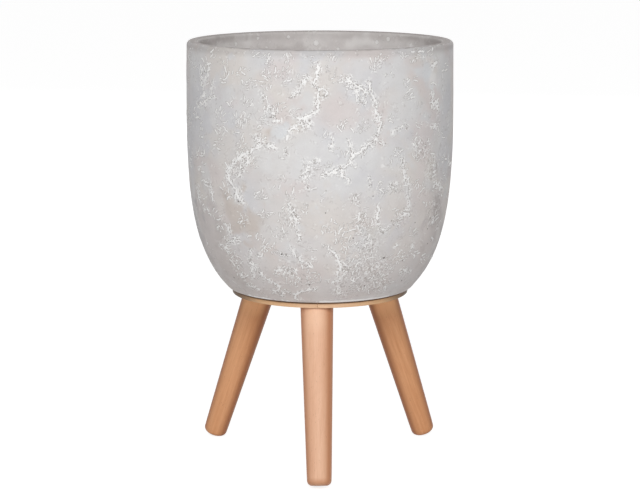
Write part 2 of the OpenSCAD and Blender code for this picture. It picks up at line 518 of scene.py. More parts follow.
@dataclass(frozen=True)
class Cement:
    """Cast cement with white filler in its fine cracks, matte.

    Attributes:
        shade: The painted shadow beside the raised filler and in the troughs between strokes.
        wander: Size of the swirls that break its marks up, in millimetres.
        ragged: How far they move them.
        crackle: Size of the meshes of the fine side cracks.
        stroke: Size of the noise that the fine strokes follow.
        fray: How white the side cracks are, with 1 for the filler.
        grit: How white the strokes of the rough areas are.
        tick: How white the strokes all over are.
        relief: Depth of its relief.
    """

    filler: Rgb = srgb(253, 252, 251)
    shade: Rgb = srgb(151, 143, 138)
    speck: Rgb = srgb(118, 110, 104)
    # The inside of a pinhole, painted dark as its shade
    pit: Rgb = srgb(84, 76, 70)
    wander: float = 2.6
    ragged: float = 1.5
    crackle: float = 3.6
    stroke: float = 5.4
    fray: float = 0.94
    grit: float = 0.84
    tick: float = 0.53
    relief: float = 0.6

    def strokes(self, g: Graph, point: Input, size: float, turns: float,
                mask: Input) -> tuple[Socket, Socket]:
        """Draws short curved strokes beside each other, like the ridges of a fingertip.

        Args:
            g: The material.
            point: Where the strokes are read.
            size: Size of the noise whose level lines they follow, in millimetres.
            turns: How closely the level lines lie.
            mask: Where they show.

        Returns:
            The light strokes and the dark ones between them, painted as the shade of the troughs;
            each is 1 where it shows.
        """
        wave = g.maths("SINE", g.times(g.noise(point, size, 1.0), turns))
        light = g.times(g.step(wave, 0.72, 0.94), mask)
        dark = g.times(g.fade(wave, -0.95, -0.6), mask)
        return light, dark

    def from_strands(self, g: Graph, point: Input) -> Socket:
        """Measures how far a point lies outside the strands that its face keeps.

        Args:
            g: The material.
            point: The point, in millimetres.

        Returns:
            The distance from the edge of the nearest strand, in millimetres, below 0 inside it.
        """
        nearest = None
        for slot in range(STRAND_SLOTS):
            start, end = g.kept(f"strand_{slot}_from"), g.kept(f"strand_{slot}_to")
            along = g.vector("SUBTRACT", end["Vector"], start["Vector"])
            way = g.vector("SUBTRACT", point, start["Vector"])
            share = g.node("Math", {0: g.vector("DOT_PRODUCT", way, along, part=1),
                                    1: g.vector("DOT_PRODUCT", along, along, part=1)},
                           operation="DIVIDE", use_clamp=True).outputs[0]
            far = g.vector("DISTANCE", way, g.vector("SCALE", along, scale=share), part=1)
            outside = g.less(far, g.scaled(end["Alpha"], share, start["Alpha"]))
            nearest = outside if nearest is None else g.maths("MINIMUM", nearest, outside)
        return nearest

    def material(self) -> Material:
        """Builds the finish.

        Returns:
            The material, which reads the attributes that the pot's mesh holds.
        """
        g = Graph("cement")
        here = g.here()
        swirl = g.vector("SUBTRACT", g.noise(here, self.wander, 3.0, 0.6, colour=True),
                         (0.5, 0.5, 0.5))
        warped = g.vector("ADD", here, g.vector("SCALE", swirl, scale=self.ragged * MM))
        frayed, rough = g.kept("frayed")["Fac"], g.kept("rough")["Fac"]
        inner = g.kept("inner")["Fac"]
        # The filled cracks, with uneven edges
        place = g.vector("SCALE", warped, scale=1 / MM)
        uneven = g.scaled(g.noise(here, 1.7, 1.0), 1.0, -0.50)
        knots = g.scaled(g.noise(here, 5.0, 1.0), 1.8, -0.90)
        uneven = g.scaled(knots, frayed, uneven)
        reach = g.maths("ADD", self.from_strands(g, place), uneven)
        vein = g.fade(reach, -0.10, 0.20)
        # Fine side cracks, fingertip-like rough areas and ticks all over
        edge = g.cells(warped, self.crackle, "DISTANCE_TO_EDGE")
        broken = g.step(g.noise(warped, self.crackle * 1.1, 1.0), 0.46, 0.51)
        fray = g.times(g.times(g.fade(edge, 0.06, 0.14), broken), frayed)
        patchy = g.step(g.noise(here, 4.2, 1.0), 0.40, 0.52)
        grit, grit_shadow = self.strokes(g, warped, self.stroke, 19.0, g.times(rough, patchy))
        sparse = g.times(g.step(g.noise(here, 5.6, 1.0), 0.53, 0.60),
                         g.step(g.noise(here, 30.0, 1.0), 0.36, 0.56, to=0.9))
        tick, tick_shadow = self.strokes(g, warped, self.stroke * 1.2, 20.0, sparse)
        # The pale base edge: wear broken all round, and a painted highlight along the front
        worn_and_highlit = g.scaled(g.noise(here, 7.0, 3.0), 1.4, g.kept("worn_and_highlit")["Fac"])
        white = g.most(vein, g.step(worn_and_highlit, 1.15, 1.4))
        for item, level in ((fray, self.fray), (grit, self.grit), (tick, self.tick)):
            white = g.most(white, g.times(item, level))
        # Painted shadow beside the raised filler, and painted shade in the troughs between the
        # strokes
        beside = g.times(g.fade(reach, 0.22, 1.15, top=0.95),
                         g.step(g.noise(warped, 1.8, 1.0), 0.43, 0.57))
        beside = g.times(beside, g.scaled(frayed, 0.36, 0.64))
        for item, level in ((grit_shadow, 0.60), (tick_shadow, 0.30)):
            beside = g.most(beside, g.times(item, level))
        # Small dark specks near the cracks, and a few open pinholes with their insides painted dark
        # as shade
        near = g.most(g.scaled(frayed, 0.75, 0.04), g.times(rough, 0.4))
        dots = g.fade(g.cells(warped, 2.5), 0.14, 0.26)
        dots = g.times(dots, g.step(g.noise(here, 4.0, 1.0), 0.46, 0.58))
        dots = g.times(dots, near)
        pit = g.kept("pit")
        hole = g.less(g.vector("DISTANCE", place, pit["Vector"], part=1), pit["Alpha"])
        hole = g.fade(hole, -0.15, 0.35)
        # Fine mottling of the skin itself
        cloud, grain = g.noise(here, 13.0, 4.0, 0.6), g.noise(here, 1.5, 2.0, 0.6)
        level = g.scaled(grain, 0.07, g.scaled(cloud, 0.18, 0.875))
        colour = g.vector("MULTIPLY", g.kept("tone")["Color"],
                          g.node("CombineXYZ", {0: level, 1: level, 2: level}).outputs[0])
        show = g.scaled(inner, -0.45, 0.96)
        # The painted shadow goes on first, then the filler, the specks and the darkened pinholes
        colour = g.mix(g.times(beside, show), colour, self.shade)
        colour = g.mix(g.times(white, show), colour, self.filler)
        colour = g.mix(g.times(dots, 0.8), colour, self.speck)
        # The pinhole's inside is painted dark as its shade
        colour = g.mix(g.times(hole, 0.9), colour, self.pit)
        height = g.scaled(white, 0.45, 0.5)
        height = g.scaled(g.most(dots, hole), -0.5, height)
        height = g.scaled(cloud, 0.25, g.scaled(grain, 0.14, height))
        return g.surface(Base_Color=colour, Roughness=g.scaled(cloud, 0.24, 0.62),
                         Specular_IOR_Level=0.35, Normal=g.bump(height, self.relief))


@dataclass(frozen=True)
class Beech:
    """Steamed beech, turned and sanded, under a clear satin lacquer.

    Attributes:
        pale: The wood between the rings, on the side of the piece that is painted as lit.
        deep: The rings.
        shade_cheek: The painted shade that the wood deepens to between that side and the one across
            from it.
        fleck: The pores and rays.
        lit_facing: Where the painted lit side faces, in degrees from the front.
        ring: Distance between rings in millimetres.
        gloss: Roughness of the lacquer.
        shine: How strongly it mirrors.
        lit_crown: The painted light at its very top, against the shade under the plate.
        lit_span: Between which heights the painted light turns the wood paler towards its top, in
            metres.
        foot: Between which heights the darkening at its foot fades out, in metres.
        foot_darkening: How strongly the foot is darkened, towards the shade_cheek colour.
    """

    pale: Rgb = srgb(228, 172, 129)
    deep: Rgb = srgb(210, 149, 105)
    shade_cheek: Rgb = srgb(176, 117, 80)
    fleck: Rgb = srgb(140, 84, 52)
    lit_facing: float = 0.0
    ring: float = 7.0
    gloss: float = 0.40
    shine: float = 0.12
    lit_crown: Rgb = srgb(253, 196, 146)
    lit_span: Point = (0.166, 0.188)
    foot: Point = (0.003, 0.0095)
    foot_darkening: float = 0.15

    def material(self, name: str, upright: Matrix, grain_shift: float) -> Material:
        """Builds the finish for one turned piece.

        Args:
            name: The material's name.
            upright: Brings the piece's own axis upright and to the middle, in metres.
            grain_shift: How far this piece's grain is from the others', in metres.

        Returns:
            The material.
        """
        g = Graph(name)
        own = g.mapping(g.here(), (1, 1, 1), upright.to_euler(), upright.to_translation())
        along = g.mapping(own, (1, 1, 1), (0.05, 0.03, 0.7), (0.031, 0.012, grain_shift))
        way = Matrix.Rotation(math.radians(self.lit_facing), 3, "Z") @ Vector((0.0, -1.0, 0.0))
        way = upright.to_3x3() @ way
        # How squarely the surface faces the painted lit side, front and back alike, for the painted
        # shade on its flanks
        facing_light = g.vector("NORMALIZE", g.vector("MULTIPLY", own, (1.0, 1.0, 0.0)))
        facing_light = g.vector("DOT_PRODUCT", facing_light, (way.x, way.y, 0.0), part=1)
        facing_light = g.maths("ABSOLUTE", facing_light)
        sway = g.times(g.noise(g.mapping(along, (1, 1, 0.07)), 26.0, 2.0), 22.0)
        pith = g.vector("LENGTH", g.vector("MULTIPLY", along, (1.0, 1.0, 0.0)), part=1)
        rings = g.scaled(pith, math.tau / (self.ring * MM), sway)
        rings = g.step(g.maths("SINE", rings), -0.9, 1.0)
        streak = g.noise(g.mapping(along, (1, 1, 0.02)), 1.6, 3.0, 0.6)
        broad = g.noise(g.mapping(along, (1, 1, 0.10)), 24.0, 2.0)
        share = g.scaled(rings, 0.07, g.times(streak, 0.55))
        share = g.scaled(broad, 0.75, share)
        colour = g.mix(g.step(share, 0.38, 0.98), self.pale, self.deep)
        length = g.part(own, 2)
        # Painted light towards the top, against the shade under the plate
        colour = g.mix(g.step(length, *self.lit_span, to=0.95), colour, self.lit_crown)
        # Painted shade on the flanks away from the lit side
        colour = g.mix(g.fade(facing_light, 0.45, 0.93), colour, self.shade_cheek)
        # Darker over the foot's rounding
        colour = g.mix(g.fade(length, *self.foot, top=self.foot_darkening), colour, self.shade_cheek)
        dash = g.fade(g.cells(g.mapping(along, (1, 1, 0.22)), 1.3), 0.08, 0.24)
        thin = g.step(g.noise(g.mapping(along, (1, 1, 0.4)), 5.0, 1.0), 0.52, 0.64)
        dash = g.times(dash, thin)
        colour = g.mix(g.times(dash, 0.40), colour, self.fleck)
        pore = g.step(g.noise(g.mapping(along, (1, 1, 0.06)), 0.55, 1.0), 0.5, 0.8)
        colour = g.mix(g.times(pore, 0.10), colour, self.fleck)
        height = g.scaled(rings, 0.1, g.scaled(g.most(dash, pore), -0.5, 0.5))
        return g.surface(Base_Color=colour, Roughness=g.scaled(streak, 0.14, self.gloss - 0.07),
                         Specular_IOR_Level=self.shine, Normal=g.bump(height, 0.04))


@dataclass(frozen=True)
class EdgeStrip:
    """A thin strip of beech glued round the plate's edge, with its grain along it."""

    pale: Rgb = srgb(243, 207, 174)
    deep: Rgb = srgb(221, 178, 140)
    half_shade: Rgb = srgb(214, 168, 120)
    side_grey_shade: Rgb = srgb(120, 101, 84)
    pore: Rgb = srgb(128, 80, 50)
    gap_shadow: Rgb = srgb(78, 48, 28)
    peak: float = 3.0

    def material(self, radius: float, top: float) -> Material:
        """Builds the finish on the strip's UV map.

        Args:
            radius: The strip's outside radius, in metres.
            top: Height of its top edge, in metres.

        Returns:
            The material, painted palest near where the strip's ends meet, as a sheen at the front,
            and painted greyest a quarter turn away, as shade, with a painted shadow line along its
            top edge, under the pot.
        """
        g = Graph("band_wood")
        strip = g.strip()
        streak = g.noise(g.mapping(strip, (0.035, 1, 1)), 0.8, 4.0, 0.65)
        broad = g.noise(g.mapping(strip, (0.2, 1, 1)), 9.0, 2.0)
        share = g.scaled(streak, 0.9, g.times(broad, 0.5))
        colour = g.mix(g.step(share, 0.45, 0.95), self.pale, self.deep)
        # Painted sheen at the front, where the ends meet, and painted shade deepening to grey
        # towards the two sides
        turn = g.less(g.maths("DIVIDE", g.part(strip, 0), radius), math.radians(self.peak))
        aside = g.maths("ABSOLUTE", g.maths("SINE", turn))
        colour = g.mix(g.step(aside, 0.12, 0.60, to=0.6), colour, self.half_shade)
        colour = g.mix(g.step(aside, 0.64, 0.98), colour, self.side_grey_shade)
        # A painted shadow along the top edge, under the pot's overhang
        below = g.less(top, g.part(strip, 1))
        colour = g.mix(g.fade(below, 0.5 * MM, 2.0 * MM, top=0.9), colour, self.gap_shadow)
        dash = g.fade(g.cells(g.mapping(strip, (0.16, 1, 1)), 0.7), 0.08, 0.24)
        colour = g.mix(g.times(dash, 0.35), colour, self.pore)
        height = g.less(streak, g.times(dash, 0.4))
        return g.surface(Base_Color=colour, Roughness=g.scaled(streak, 0.2, 0.36),
                         Specular_IOR_Level=0.08, Normal=g.bump(height, 0.05))


@dataclass(frozen=True)
class Plywood:
    """Beech plywood: rotary-cut veneer on its faces and bare plies in its holes."""

    pale: Rgb = srgb(220, 176, 136)
    deep: Rgb = srgb(184, 132, 92)
    core: Rgb = srgb(158, 112, 78)
    ply: float = 1.2
    veneer: float = 0.3

    def material(self, under: float, top: float) -> Material:
        """Builds the finish.

        Args:
            under: Height of the plate's underside, in metres.
            top: Height of its top, in metres.

        Returns:
            The material.
        """
        g = Graph("plate_wood")
        here = g.here()
        sway = g.noise(g.mapping(here, (0.25, 1, 1)), 24.0, 3.0)
        bands = g.maths("SINE", g.times(sway, 42.0))
        streak = g.noise(g.mapping(here, (0.03, 1, 1)), 1.5, 3.0, 0.6)
        share = g.scaled(bands, 0.16, g.times(streak, 0.8))
        colour = g.mix(g.step(share, 0.15, 0.75), self.pale, self.deep)
        pores = g.fade(g.cells(g.mapping(here, (0.14, 1, 1)), 1.1), 0.08, 0.24)
        colour = g.mix(g.times(pores, 0.4), colour, self.core)
        height = g.part(here, 2)
        inside = g.times(g.maths("GREATER_THAN", height, under + self.veneer * MM),
                         g.maths("LESS_THAN", height, top - self.veneer * MM))
        plies = g.maths("SINE", g.times(height, math.pi / (self.ply * MM)))
        layered = g.mix(g.step(plies, -0.2, 0.2), self.core, self.pale)
        colour = g.mix(inside, colour, layered)
        relief = g.less(streak, g.times(pores, 0.5))
        return g.surface(Base_Color=colour, Roughness=g.scaled(streak, 0.2, 0.36),
                         Normal=g.bump(relief, 0.06))


@dataclass(frozen=True)
class Rubber:
    """Moulded black rubber with a fine bloom of dust."""

    base: Rgb = (0.018, 0.018, 0.020)
    bloom: Rgb = (0.060, 0.058, 0.056)

    def material(self, name: str) -> Material:
        """Builds the finish under that name.

        Args:
            name: The material's name.

        Returns:
            The material.
        """
        g = Graph(name)
        here = g.here()
        dust = g.noise(here, 4.0, 4.0, 0.6)
        skin = g.noise(here, 0.35, 2.0)
        colour = g.mix(g.step(dust, 0.4, 0.75), self.base, self.bloom)
        return g.surface(Base_Color=colour, Roughness=g.scaled(dust, 0.3, 0.52),
                         Specular_IOR_Level=0.4, Normal=g.bump(skin, 0.05, 0.6))


@dataclass(frozen=True)
class Metal:
    """Turned metal with fine tool marks round its axis."""

    base: Rgb
    tarnish: Rgb
    rough: float

    def material(self, name: str, pitch: float) -> Material:
        """Builds the finish.

        Args:
            name: The material's name.
            pitch: Distance between tool marks along the axis, in millimetres.

        Returns:
            The material.
        """
        g = Graph(name)
        here = g.here()
        marks = g.maths("SINE", g.times(g.part(here, 2), math.tau / (pitch * MM)))
        stain = g.noise(here, 3.0, 3.0, 0.6)
        colour = g.mix(g.step(stain, 0.45, 0.75), self.base, self.tarnish)
        return g.surface(Base_Color=colour, Metallic=1.0,
                         Roughness=g.scaled(stain, 0.2, self.rough),
                         Normal=g.bump(marks, 0.04, 0.5))


# The pot's skin ------------


@dataclass(frozen=True)
class Vein:
    """A crack filled with white.

    Attributes:
        course: Its points, as degrees from the front and millimetres above the pot's base.
        width: Half its width in millimetres.
        fray: How far its fine side cracks reach, in millimetres.
    """

    course: tuple[Point, ...]
    width: float = 0.75
    fray: float = 4.0


@dataclass(frozen=True)
class Spot:
    """A round area of the skin.

    Attributes:
        at: Its middle, as degrees from the front and millimetres above the pot's base.
        radius: Its radius in millimetres.
    """

    at: Point
    radius: float


@dataclass(frozen=True)
class Stain:
    """A soft area of one tone: where its middle is, its half sizes across and up, in mm."""

    tone: Tone
    at: Point
    reach: Point


def spots(*rows: tuple[float, float, float]) -> tuple[Spot, ...]:
    """Spots from rows of degrees from the front, millimetres up and radius."""
    return tuple(Spot((degrees, up), radius) for degrees, up, radius in rows)


def stains(*rows: tuple[Tone, float, float, float, float]) -> tuple[Stain, ...]:
    """Stains from rows of tone, degrees from the front, millimetres up and two half sizes."""
    return tuple(Stain(tone, (degrees, up), (across, high))
                 for tone, degrees, up, across, high in rows)


class Flurry(NamedTuple):
    """An area of short white strokes.

    Attributes:
        degrees: Direction of its middle from the front.
        up: How far above the pot's base that is, in millimetres.
        across: Half its width in millimetres.
        high: Half its height.
        count: How many strokes it has.
        lean: Direction of the strokes, in degrees from level.
    """

    degrees: float
    up: float
    across: float
    high: float
    count: int
    lean: float = 45.0


VEINS = tuple(Vein(*row) for row in (
    (((-1, 275), (-1, 262), (-0.5, 248), (-1, 241), (-0.3, 232), (-1, 225), (-3.4, 221),
      (-6.4, 217), (-8, 209), (-11, 205), (-12.6, 201)), 1.0, 4.0),
    (((-10.5, 219), (-6.4, 217), (-3.5, 210), (-7.5, 209)), 0.8, 5.5),
    (((0, 249), (2.2, 247), (3, 243), (1.4, 240), (-0.5, 241)), 0.6, 2.5),
    (((-4.2, 262), (-6.2, 257), (-8, 248), (-10, 243), (-12.5, 239)), 0.6, 3.5),
    (((10.5, 261), (12.6, 256), (15, 250.5), (17.5, 247), (20, 243), (22, 240), (22.8, 233),
      (23.6, 228), (22.8, 222), (24.8, 215), (24.7, 204), (24, 197), (22.4, 190), (19.3, 184),
      (16.2, 177), (13, 172), (11, 164), (7.4, 161), (4.4, 157), (0.8, 152)), 0.95, 4.0),
    (((19.8, 256), (20.6, 249), (21.6, 244)), 0.8, 2.5),
    (((12.5, 251), (14.5, 247), (16, 245)), 0.45, 3.0),
    (((16, 240), (18, 230)), 0.3, 3.0),
    (((11, 193), (12.6, 183), (13, 178), (12.5, 172)), 0.55, 3.5),
    (((8.5, 159), (10.5, 150), (11.8, 143)), 0.85, 1.4),
    (((25, 191), (27.5, 186)), 0.7, 2.0),
    (((-18, 181.5), (-20.5, 185.5), (-24, 184.5), (-28.6, 178.5), (-31.6, 173), (-35.8, 167),
      (-38.8, 162), (-39.4, 157), (-42.4, 152), (-41.4, 143), (-38.8, 136), (-38.3, 126),
      (-35.8, 122), (-33, 118)), 0.8, 6.5),
    (((-31, 172), (-34.7, 159), (-35.2, 151), (-36.5, 148)), 0.8, 6.0),
    (((-24, 185), (-26, 191), (-28.5, 194)), 0.5, 4.0),
    (((-54.3, 272), (-54.2, 262), (-54, 256)), 0.5, 1.0),
    (((-60.5, 268), (-59.6, 262), (-58.6, 254), (-58.6, 243)), 0.4, 1.2),
    (((-57, 260), (-55.8, 254), (-56.5, 248)), 0.4, 1.5),
    (((-50.6, 252), (-50.6, 245), (-51.5, 238)), 0.35, 1.0),
    (((-63.5, 223), (-60, 226), (-57, 226), (-54.5, 230), (-51.5, 234),
      (-48.5, 234)), 0.5, 1.6),
    (((-57, 238), (-56.6, 235), (-59.5, 231)), 0.7, 1.5),
    (((-56.5, 227), (-55.5, 224), (-56, 220)), 0.5, 1.5),
    (((-19, 211.5), (-17.4, 213.5), (-16.4, 212)), 0.9, 1.4),
    (((4.6, 197), (5, 190), (4.4, 184)), 0.4, 1.2),
    (((-25, 244), (-23, 238)), 0.5, 2.5),
    (((-22, 228), (-19.5, 221), (-18, 214)), 0.35, 4.0),
    (((-3.4, 168), (-5, 161), (-6.4, 154), (-5.4, 147)), 0.6, 6.0),
    (((-0.5, 170), (-3.4, 168)), 0.4, 4.0),
    (((-13.5, 121), (-12.6, 116), (-11, 109), (-10.4, 98)), 0.5, 4.5),
    (((-11.2, 92), (-10, 87), (-9, 82), (-9.5, 79)), 0.6, 2.2),
    (((-12.8, 71), (-11.8, 66), (-10.8, 61)), 0.7, 1.6),
    (((-10, 58), (-8, 54), (-4.4, 47)), 0.45, 2.5),
    (((4.4, 68), (5.8, 65), (7.6, 59), (8.8, 53), (9.6, 48), (9, 42)), 1.15, 1.8),
    (((9, 42), (8.8, 36), (9.2, 30)), 0.6, 3.0),
    (((9.4, 21), (9, 15), (11.5, 12)), 0.6, 3.0),
    (((24.6, 117), (25, 108), (25.4, 100)), 1.3, 0.7),
    (((25.5, 99), (26.2, 93), (27.2, 86)), 0.6, 1.5),
    (((33, 94), (35.5, 99)), 0.3, 3.0),
    (((27.4, 86), (29.4, 88), (32, 91)), 0.5, 2.5),
    (((37.6, 105), (41, 104.5), (42, 101)), 0.7, 2.0),
    (((36.3, 168), (36.8, 151), (37.8, 140), (40.2, 139)), 0.45, 4.5),
    (((40.4, 134), (40.6, 121), (40.6, 112), (41.2, 104)), 0.45, 2.0),
    (((20.8, 151), (20.6, 145), (21.3, 139)), 0.6, 2.0),
    (((31, 198), (31.6, 200), (34, 202), (38, 201)), 0.65, 2.5),
    (((53.7, 240), (54.4, 232), (54.8, 223), (58.4, 226), (59, 214)), 0.75, 3.0),
    (((53.5, 199), (55, 199.5), (59, 199)), 0.4, 2.0),
    (((-30.4, 35), (-29.2, 32), (-27.5, 29), (-25.5, 26.5), (-23, 22.5),
      (-21.5, 22)), 0.8, 2.0),
    (((-34.4, 47), (-32.4, 44.5), (-31.5, 41)), 0.45, 2.5),
    (((-22.6, 21), (-24, 14.5), (-27.5, 10)), 0.75, 3.0),
    (((-17, 14.5), (-20.5, 12.5), (-23, 9)), 0.6, 2.5),
    (((-33.5, 44), (-34.6, 40), (-35, 33), (-35.6, 29)), 0.6, 3.0),
    (((-42.5, 20), (-41, 16.5), (-38, 13.5), (-35, 13)), 0.45, 3.0),
    (((-2, 20), (-5, 18.5), (-10, 16.5), (-11.4, 13), (-13.6, 10.5), (-14, 5),
      (-11, 5)), 0.95, 1.4),
    (((-19, 44), (-20.5, 41.5), (-22, 36.5)), 0.7, 2.0),
    (((-15.5, 43.5), (-13.5, 44), (-11.5, 43.5)), 0.5, 2.5),
    (((-13.8, 183), (-13.7, 175)), 0.55, 0.8),
    (((53.4, 267.5), (56, 270), (58.2, 271)), 1.0, 1.0),
    (((-53, 62.5), (-50, 60.5), (-48, 60.5)), 0.4, 2.0),
    (((-67.7, 126), (-66, 119), (-64.6, 112)), 0.7, 2.5),
    (((-53.5, 134), (-52.7, 123), (-52.5, 114)), 0.5, 2.5),
    (((-48, 66), (-44, 71), (-41, 75), (-38, 78)), 0.35, 2.5),
    (((-32.7, 65), (-34, 56), (-35.8, 46)), 0.45, 2.0),
    (((-44, 88), (-43.6, 80)), 0.8, 3.0),
    (((43, 188), (44, 176), (43.6, 166)), 0.35, 4.5),
    (((57, 136), (61, 130), (66, 122)), 0.45, 4.5),
    (((33, 133), (30, 140), (33.5, 137)), 0.4, 4.0),
    (((14.5, 130), (15.6, 122)), 0.4, 3.5),
    (((44, 36), (48, 33), (53, 30)), 0.35, 3.5),
))

ROUGH = spots(
    (26, 36, 26), (15, 44, 20), (18, 98, 15), (22, 72, 14), (-11.5, 106, 11), (-37, 158, 10),
    (-17, 41, 12), (12, 18, 15), (55, 150, 16), (60, 100, 18), (-8, 30, 10), (34, 20, 14),
    (-4, 155, 8), (48, 175, 14), (-34, 212, 7), (-5, 214, 6), (14, 246, 7), (25, 275, 7),
    (44, 282, 8), (-45, 45, 14),
)

FILLED = spots(
    (-13.2, 195, 4.2), (-17.5, 212.5, 2.4), (4.2, 28.5, 1.8), (6.6, 28.5, 2.2), (36.7, 67.5, 2.2),
    (47, 63, 2.6), (25.3, 215.5, 2.4), (60.2, 88, 2.8), (17, 28, 2.2), (-3.2, 57, 2.0),
    (-29.4, 56.5, 2.2), (-25.4, 67.5, 1.5), (-42, 72, 1.8), (-60.4, 102, 2.2), (-58.2, 103, 1.6),
    (-51.5, 84, 2.2), (-66, 60, 2.2), (-29.8, 34, 3.0), (-19.8, 42.5, 1.8), (-43.5, 29.5, 2.0),
    (-64.2, 164, 2.6), (-58.3, 168, 1.8), (-63, 147.5, 2.0), (-57.6, 135, 2.4), (22.5, 268.5, 1.6),
    (-16.8, 213, 2.0), (23.3, 225, 2.0),
)

PITS = spots(
    (30.8, 54.5, 1.0), (42.6, 48, 0.9), (-17.5, 61.5, 0.8), (-15.4, 61, 0.7), (23.8, 21, 0.8),
    (48.5, 21, 0.9), (14.5, 81, 0.7), (-5.3, 25, 0.8), (-11, 111, 0.6), (-36.5, 119, 0.7),
    (22.6, 128, 0.6), (2.3, 111, 0.6), (56.5, 81, 0.7), (60, 62, 0.8), (46, 92, 0.6),
    (-51, 24, 0.7),
)

